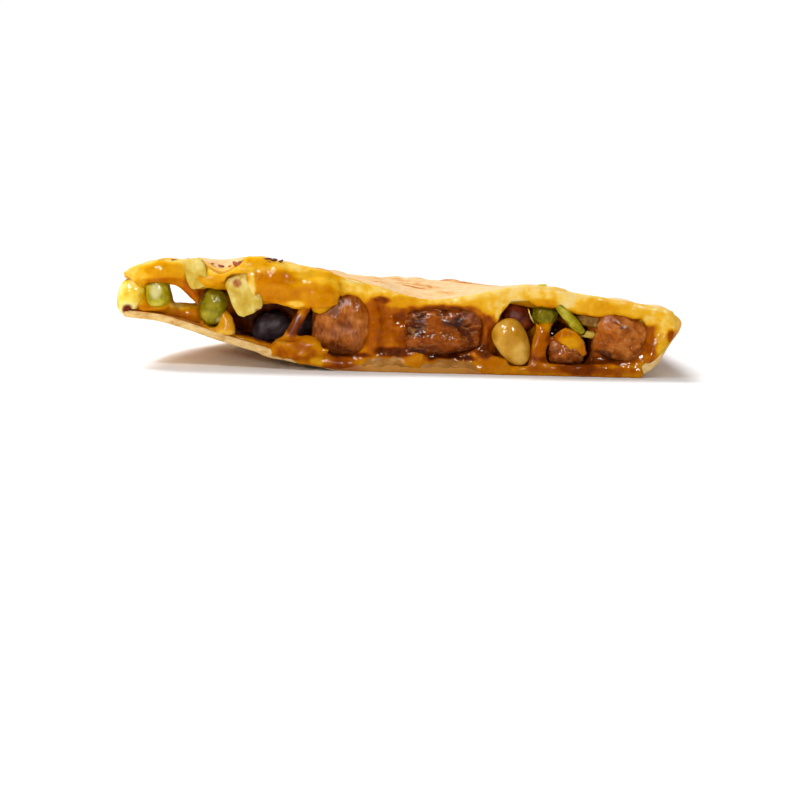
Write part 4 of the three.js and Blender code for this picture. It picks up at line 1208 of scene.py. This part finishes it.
def collar(node, from_x):
    """Sauce that has crept up round a piece of chicken, to the right of from_x."""
    middle, half = middle_and_half(node)
    squareness, tuck, depth = 3, 0.3, 1.1
    parts = []
    for turn in np.arange(0, 2 * math.pi, 0.12):
        across, up = math.cos(turn), math.sin(turn)
        out = (abs(across) ** squareness + abs(up) ** squareness) ** (-1 / squareness)
        x = middle[0] + (half[0] - tuck) * across * out
        z = middle[2] + (half[2] - tuck) * up * out
        if x > from_x:
            parts.append(ball((x, depth + 0.3 * ripple(x, 0, z, 9), z), (1.0, 1.0, 1.0), 6))
    return parts


def sauced(points, tone):
    """The tone, browned by the sauce round each piece of chicken."""
    squareness = 2.6
    wander = 0.06 * ripple(points[:, 0], points[:, 1], points[:, 2], 6)
    for node, (width, brown) in SAUCE.items():
        middle, half = middle_and_half(node)
        away = np.abs(points - middle) / (half + (width, 0, width))
        reach = (away[:, 0] ** squareness + away[:, 2] ** squareness) ** (1 / squareness) + wander
        share = (1 - smooth(reach, 0.96, 1.14)) * smooth(points[:, 1], -0.3, 0.5)
        tone = mix(tone, brown, share)
    return tone


def bands():
    """Wavy cheese all along the underside of the top sheet and on top of the bottom one."""
    parts = []
    for x in np.arange(*TOP_BAND, BAND_STEP):
        wave, lap = ripple(x / 3.1, 0, 0, 2), ripple(x / 4.3, 0, 0, 7)
        droop = droop_at(x)
        under = top_edge(x) - SHEET - droop
        parts.append(ball((x, 1.2, under - 0.5 - 0.3 * wave), (1.6, 1.6, 1.2 + 0.4 * wave)))
        if abs(x - DROOP["at"]) > DROOP["half_width"]:
            parts.append(ball((x, 0.1, under + 0.85 + 0.06 * lap), (1.4, 0.84, 1.2 + 0.06 * lap)))
        parts.append(ball((x, 4.4, under - 0.9 + droop / 2), (1.8, 3.4, 1.3 + 0.3 * wave)))
    for x in np.arange(*FLOOR_BAND, BAND_STEP):
        wave = ripple(x / 2.7, 0, 3, 5)
        over = bottom_edge(x) + SHEET
        parts.append(ball((x, 4.6, over + 0.2), (1.8, 3.6 + 0.5 * wave, 0.6 + 0.25 * wave)))
        if x > FLOOR_EDGE_FROM:
            run = smooth(x, *RUNS_OVER_FLOOR)
            low = (x, 0.25 - 0.15 * run, over - 0.1 - 0.5 * run)
            tall = 0.9 + 0.4 * run + 0.2 * (1 - run) * wave
            parts.append(ball(low, (1.4, 0.62 + 0.22 * run, tall)))
    return parts


def joined(name, parts):
    """One object from several closed parts, each as points and faces."""
    points, faces = [], []
    first = 0
    for co, polygons in parts:
        points.append(co)
        faces += [[first + k for k in polygon] for polygon in polygons]
        first += len(co)
    return mesh_object(name, np.concatenate(points), faces)


def halved(points, faces, y, keep_front):
    """The part of a closed mesh in front of the depth y, or behind it, closed again."""
    mesh = bpy.data.meshes.new("half")
    mesh.from_pydata(points, [], faces)
    work = bmesh.new()
    work.from_mesh(mesh)
    geometry = work.verts[:] + work.edges[:] + work.faces[:]
    bmesh.ops.bisect_plane(
        work, geom=geometry, plane_co=(0, y, 0), plane_no=(0, 1, 0),
        clear_outer=keep_front, clear_inner=not keep_front,
    )
    bmesh.ops.holes_fill(work, edges=[e for e in work.edges if e.is_boundary], sides=0)
    bmesh.ops.triangulate(work, faces=work.faces[:])
    co = np.array([v.co for v in work.verts])
    polygons = [[v.index for v in f.verts] for f in work.faces]
    work.free()
    bpy.data.meshes.remove(mesh)
    return co, polygons


def shreds():
    """Small lumps over the puddle at the foot of the strand."""
    draw = np.random.default_rng(12)
    parts = []
    for _ in range(46):
        share = draw.uniform(-1, 1, 2)
        x = -22.6 + 6.0 * share[0]
        z = 4.3 + 2.2 * share[1] * (1 - 0.4 * abs(share[0]))
        depth = -0.2 - 1.7 * math.sqrt(max(1 - share @ share / 1.6, 0))
        parts.append(ball((x, depth, z), draw.uniform((0.45, 0.45, 0.35), (1.2, 0.7, 0.6)), 6))
    return parts


def melt(obj, voxel):
    """Runs overlapping solids together into one skin."""
    modifier = obj.modifiers.new("melt", "REMESH")
    modifier.mode = "VOXEL"
    modifier.voxel_size = voxel * MM
    modifier.adaptivity = 0.0
    settle(obj)


def thin_out(obj, most):
    """Takes triangles away where the skin is flattest, until no more than `most` are left."""
    triangles = sum(len(face.vertices) - 2 for face in obj.data.polygons)
    if triangles > most:
        modifier = obj.modifiers.new("thin", "DECIMATE")
        modifier.ratio = most / triangles
        settle(obj)


def paint_cheese(board, at):
    tone, tan_and_shade_share = board.attributes("tone", "crumb")
    clouds = board.noise(at, 6, 3, 0.55, seed=1.0)
    swirl = board.noise(board.warp(at, 5, 3), 1.9, 4, 0.62, seed=4.0)
    melted = board.ramp(
        tone + (clouds - 0.5) * 0.34 + (swirl - 0.5) * 0.4,
        (0.0, 236, 204, 130), (0.06, 238, 198, 94), (0.14, 230, 174, 36), (0.28, 216, 150, 4),
        (0.44, 198, 122, 0), (0.6, 172, 88, 0), (0.76, 134, 58, 0), (1.0, 60, 16, 0))
    crumb = board.noise(board.place(at, (0.5, 1, 1)), 2.2, 3, 0.6, seed=14.0)
    # Tan of the bottom sheet's crumb, darkened as painted shade along the floor's edge.
    shaded_crumb_tan = board.ramp(crumb, (0.36, 142, 92, 36), (0.5, 170, 118, 58), (0.64, 200, 150, 86))
    soaked = (tan_and_shade_share + (crumb - 0.5) * 0.8).step(0.35, 0.65)
    colour = board.blend(soaked * 0.9, melted, shaded_crumb_tan)
    relief = board.bump(board.noise(at, 1.5, 1, 0.5), 0.3, 0.6)
    relief = board.bump(board.noise(board.warp(at, 4, 3), 3.4, 1, 0.5, seed=9.0), 0.8, 0.5, relief)
    return {"Base Color": colour, "Roughness": 0.07, "Normal": relief}


def sliced(points):
    """Pressed back to the plane of the cut, except at the torn left-hand end, and kept under the
    bare stretch of the top sheet."""
    x, y, z = points.T
    over_floor = smooth(x, *RUNS_OVER_FLOOR) * (1 - smooth(z, 2.2, 3))
    beside_sheet = np.maximum.reduce([
        smooth(z, top_edge(x) - 2.6, top_edge(x) - 1.9), over_floor, smooth(x - z / 2, 52.6, 54),
    ])
    uneven = ripple(x / 1.9, 0, z / 1.6, 8)
    plane = mix(-0.22 + 0.16 * uneven, -0.56 + 0.05 * uneven, beside_sheet)
    kept = mix(1, 0.3, smooth(x, *CLEAN_CUT))
    y = np.where(y < plane, plane + (y - plane) * kept, y)
    width = DROOP["half_width"]
    bare = smooth(abs(x - DROOP["at"]), width + 1.6, width + 0.2) * (y < 6)
    limit = top_at(x, np.maximum(y, 0)) - 0.9
    return np.stack([x, y, np.where(z > limit, mix(z, limit, bare), z)], 1)


def cheese_tone(points):
    """Pale against the top sheet, more golden and darker further below it, partly painted shade, and
    browner deep in the cut, partly sauce and partly painted shade in the hollow.
    """
    x, y, z = points.T
    # browner further into the cut: partly sauce, partly painted shade in the hollow
    deep = smooth(y, 2.5, 10) * (1 - smooth(y, 40, 80))
    # painted shade: darker and more golden further below the top sheet, as the light falls off
    # downwards
    hanging_shade = smooth(top_edge(x) - SHEET - z, 0.3, 3.4)
    below = smooth(top_edge(x) - z, 0.2, 1.7)
    base = sauced(points, 0.06 + 0.1 * below + 0.26 * hanging_shade + 0.5 * deep)
    return stained(points, base, CHEESE_STAINS_SHADE_AND_LIGHT)


CHEESE_SPLIT = 15.5  # the depth behind which the cheese can't be seen through the cut
SPLIT_OVERLAP = 0.5


def cheese_in_two():
    """The cheese that shows at the cut, and the core behind it, as two objects."""
    solid = solid_copy("cheese")
    parts = [halved(*solid, CHEESE_SPLIT, True)] + bands() + shreds()
    for reach in BEDS:
        parts += bed(*reach)
    for node, from_x in COLLARS.items():
        parts += collar(node, from_x)
    for knots in STRINGS:
        parts += string(knots)
    front = joined("cheese_in_the_cut", parts)
    melt(front, voxel=0.36)
    rear = joined("cheese_core", [halved(*solid, CHEESE_SPLIT - SPLIT_OVERLAP, False)])
    melt(rear, voxel=0.9)
    return front, rear


def make_cheese():
    material = finish(
        "melted_cheese", paint_cheese, specular_ior_level=0.26, subsurface_weight=0.25,
        subsurface_scale=2 * MM, subsurface_radius=(1.0, 0.5, 0.06))
    values = {
        "Levels": 0, "Lump size": 4.5 * MM, "Lump depth": 0.45 * MM, "Grain size": 1.3 * MM,
        "Grain depth": 0.12 * MM, "Seed": 4.0, "Finish": material,
    }
    for obj, rounding in zip(cheese_in_two(), (5, 3)):
        points = points_of(obj)
        move_points(obj, sliced(points))
        put(obj, "tone", cheese_tone(points))
        put(obj, "crumb", stained(points, np.zeros(len(points)), CRUMB_TAN_AND_SHADE))
        run_tree(obj, REFINE, {**values, "Rounding": rounding})
        thin_out(obj, MOST_TRIANGLES)
        rest(obj)
        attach(obj, "root")
        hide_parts("cheese")


# ---------------------------------------------------------------- burnt flecks

# Flecks on the crust: place, length, width, turn in degrees, and tone from 0, burnt, to 1, golden.
FLECKS = [
    ((-53.6, -0.4, 24.1), 2.6, 0.5, 4, 0.1), ((-51.6, -0.3, 24.3), 2.2, 0.45, -4, 0.2),
    ((-48.2, 0.2, 24.5), 1.6, 0.5, -6, 0.6), ((-37.2, -0.7, 23.7), 2.2, 1.0, 34, 0.5),
    ((-36.2, -0.7, 24.1), 2.2, 0.9, -20, 0.4), ((-38.4, 0.0, 23.1), 1.4, 0.6, 10, 0.6),
    ((-30.4, -1.0, 24.95), 2.6, 0.8, -8, 0.25), ((-28.9, -1.2, 24.75), 2.2, 0.9, -22, 0.2),
    ((-27.4, -1.0, 24.5), 2.0, 0.7, -30, 0.25), ((-31.6, -1.3, 24.5), 1.4, 0.7, 24, 0.4),
    ((-29.6, -1.5, 24.3), 1.2, 0.6, 40, 0.45),
    ((-40.8, 1.6, 23.2), 1.6, 0.35, 12, 0.4), ((-43.0, 1.2, 23.6), 1.4, 0.3, -8, 0.45),
    ((32.0, 0.2, 20.6), 2.2, 0.7, -3, 1.0),
]


def flecking_tree():
    """Sets a thin, ragged flake on each point of a mesh."""
    tree, board, start = group_with("flecks", {
        "Thickness": ("Float", 0.4 * MM), "Raggedness": ("Float", 0.25), "Seed": ("Float", 1.0),
        "Finish": ("Material", None),
    })
    flake = board.add("GeometryNodeMeshIcoSphere", {}, {"Radius": 0.5, "Subdivisions": 3})
    size = board.add("ShaderNodeCombineXYZ", {}, {
        0: board.named("length"), 1: start.other("Thickness"), 2: board.named("width"),
    })
    turn = board.add("ShaderNodeCombineXYZ", {}, {1: board.named("turn")})
    placed = board.add("GeometryNodeInstanceOnPoints", {}, {
        "Points": start, "Instance": flake, "Scale": size, "Rotation": turn,
    })
    loose = board.add("GeometryNodeRealizeInstances", {}, {0: placed})
    values = {"W": start.other("Seed"), "Scale": 1 / (0.9 * MM), "Detail": 2.0}
    ragged = board.add("ShaderNodeTexNoise", {"noise_dimensions": "4D"}, values)
    shape = shove(board, loose, (ragged - 0.5) * start.other("Raggedness") * 2 * MM)
    return close(tree, board, shape, start.other("Finish"))


def paint_fleck(board, at):
    burnt = board.attribute("tone") + (board.noise(at, 1.2, 3, 0.6) - 0.5) * 0.3
    colour = board.ramp(
        burnt, (0.0, 52, 20, 8), (0.25, 96, 40, 14), (0.5, 170, 72, 26), (0.75, 206, 120, 30),
        (1.0, 206, 190, 40))
    return {"Base Color": colour, "Roughness": 0.22}


def make_flecks():
    places, lengths, widths, turns, tones = zip(*FLECKS)
    obj = mesh_object("burnt_flecks", places, [])
    put(obj, "length", np.array(lengths) * MM)
    put(obj, "width", np.array(widths) * MM)
    put(obj, "turn", np.radians(turns))
    put(obj, "tone", tones)
    run_tree(obj, flecking_tree(), {"Finish": finish("burnt_fleck", paint_fleck)})
    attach(obj, "root")


# ---------------------------------------------------------------- stage


def make_floor():
    """A wide sheet of white paper, dark as a reflection, so that the glaze keeps its colour."""
    side, front, rear = 20000, -3000, 60000
    corners = [(-side, front, 0), (side, front, 0), (side, rear, 0), (-side, rear, 0)]
    ground = mesh_object("floor", corners, [[0, 1, 2, 3]])
    material = bpy.data.materials.new("white_floor")
    material.use_nodes = True
    shader = material.node_tree.nodes["Principled BSDF"]
    board = Board(material.node_tree)
    mirrored = board.add("ShaderNodeLightPath", out="Is Glossy Ray")
    white, dark = (0.95, 0.95, 0.955, 1), (0.12, 0.11, 0.1, 1)
    values = {0: mirrored, 6: white, 7: dark}
    paper = board.add("ShaderNodeMix", {"data_type": "RGBA"}, values, out=2)
    material.node_tree.links.new(paper.socket, shader.inputs["Base Color"])
    shader.inputs["Roughness"].default_value = 0.8
    ground.data.materials.append(material)


def make_room():
    """A room that is white to the camera, dimmer as a light, so the cut keeps its shadows, and dark
    as a reflection, so the glaze keeps its colour."""
    world = bpy.data.worlds.new("white_room")
    world.use_nodes = True
    board = Board(world.node_tree)
    seen = board.add("ShaderNodeLightPath", out="Is Camera Ray")
    way = board.add("ShaderNodeSeparateXYZ", {}, {0: board.add("ShaderNodeTexCoord", out="Generated")})
    light = 0.1 + (way.other("Y") * 0.6 + way.other("Z")).step(-0.3, 0.9) * 0.42
    strength = seen * 1.02 + (1.0 - seen) * light * (1.0 - seen.other("Is Glossy Ray") * 0.9)
    background = world.node_tree.nodes["Background"]
    background.inputs["Color"].default_value = (1, 1, 1, 1)
    world.node_tree.links.new(strength.socket, background.inputs["Strength"])
    bpy.context.scene.world = world
    bpy.context.scene.view_settings.view_transform = "Standard"


def in_scene(place):
    """A place in the cut's own millimetres, as a place in the scene."""
    return Vector(((np.array(place) + ORIGIN) * MM).tolist())


# Each lamp's kind, place and settings. The glints only shine on what is wet.
LAMPS = {
    "sky": ("SUN", (-230, 300, 560), {"energy": 3.2, "angle": math.radians(34)}),
    "window": ("AREA", (-260, -270, 360), {"energy": 0.85, "size": 40 * MM}),
    "front": ("AREA", (-150, -430, 130), {"energy": 0.45, "size": 20 * MM}),
    "glint_left": ("AREA", (-190, -400, 330), {"energy": 1.0, "size": 110 * MM}),
    "glint_right": ("AREA", (150, -420, 240), {"energy": 0.8, "size": 70 * MM}),
}
LAMPS_AIM_AT = (0, 20, 8)


def make_lamps():
    for name, (kind, place, settings) in LAMPS.items():
        lamp = bpy.data.lights.new(name, kind)
        for key, value in settings.items():
            setattr(lamp, key, value)
        obj = bpy.data.objects.new(name, lamp)
        obj.visible_glossy = kind == "AREA"
        obj.visible_diffuse = not name.startswith("glint")
        obj.location = in_scene(place)
        way = in_scene(LAMPS_AIM_AT) - in_scene(place)
        obj.rotation_euler = way.to_track_quat("-Z", "Y").to_euler()
        bpy.context.scene.collection.objects.link(obj)


def make_camera():
    distance, beside = 505, 0.45
    looks_down, sees_down, roll = math.radians(7), math.radians(6.29), math.radians(1.35)
    camera = bpy.data.cameras.new("camera")
    camera.lens = 100
    camera.sensor_width = 36
    camera.clip_start, camera.clip_end = 0.01, 50
    obj = bpy.data.objects.new("camera", camera)
    place = (beside, -distance * math.cos(sees_down), distance * math.sin(sees_down))
    turn = Euler((math.pi / 2 - looks_down, 0, 0)).to_matrix() @ Matrix.Rotation(roll, 3, "Z")
    obj.matrix_world = Matrix.Translation(in_scene(place)) @ turn.to_4x4()
    bpy.context.scene.collection.objects.link(obj)
    bpy.context.scene.camera = obj


make_camera()
make_floor()
make_room()
make_lamps()
make_tortilla()
make_filling()
make_cheese()
make_flecks()
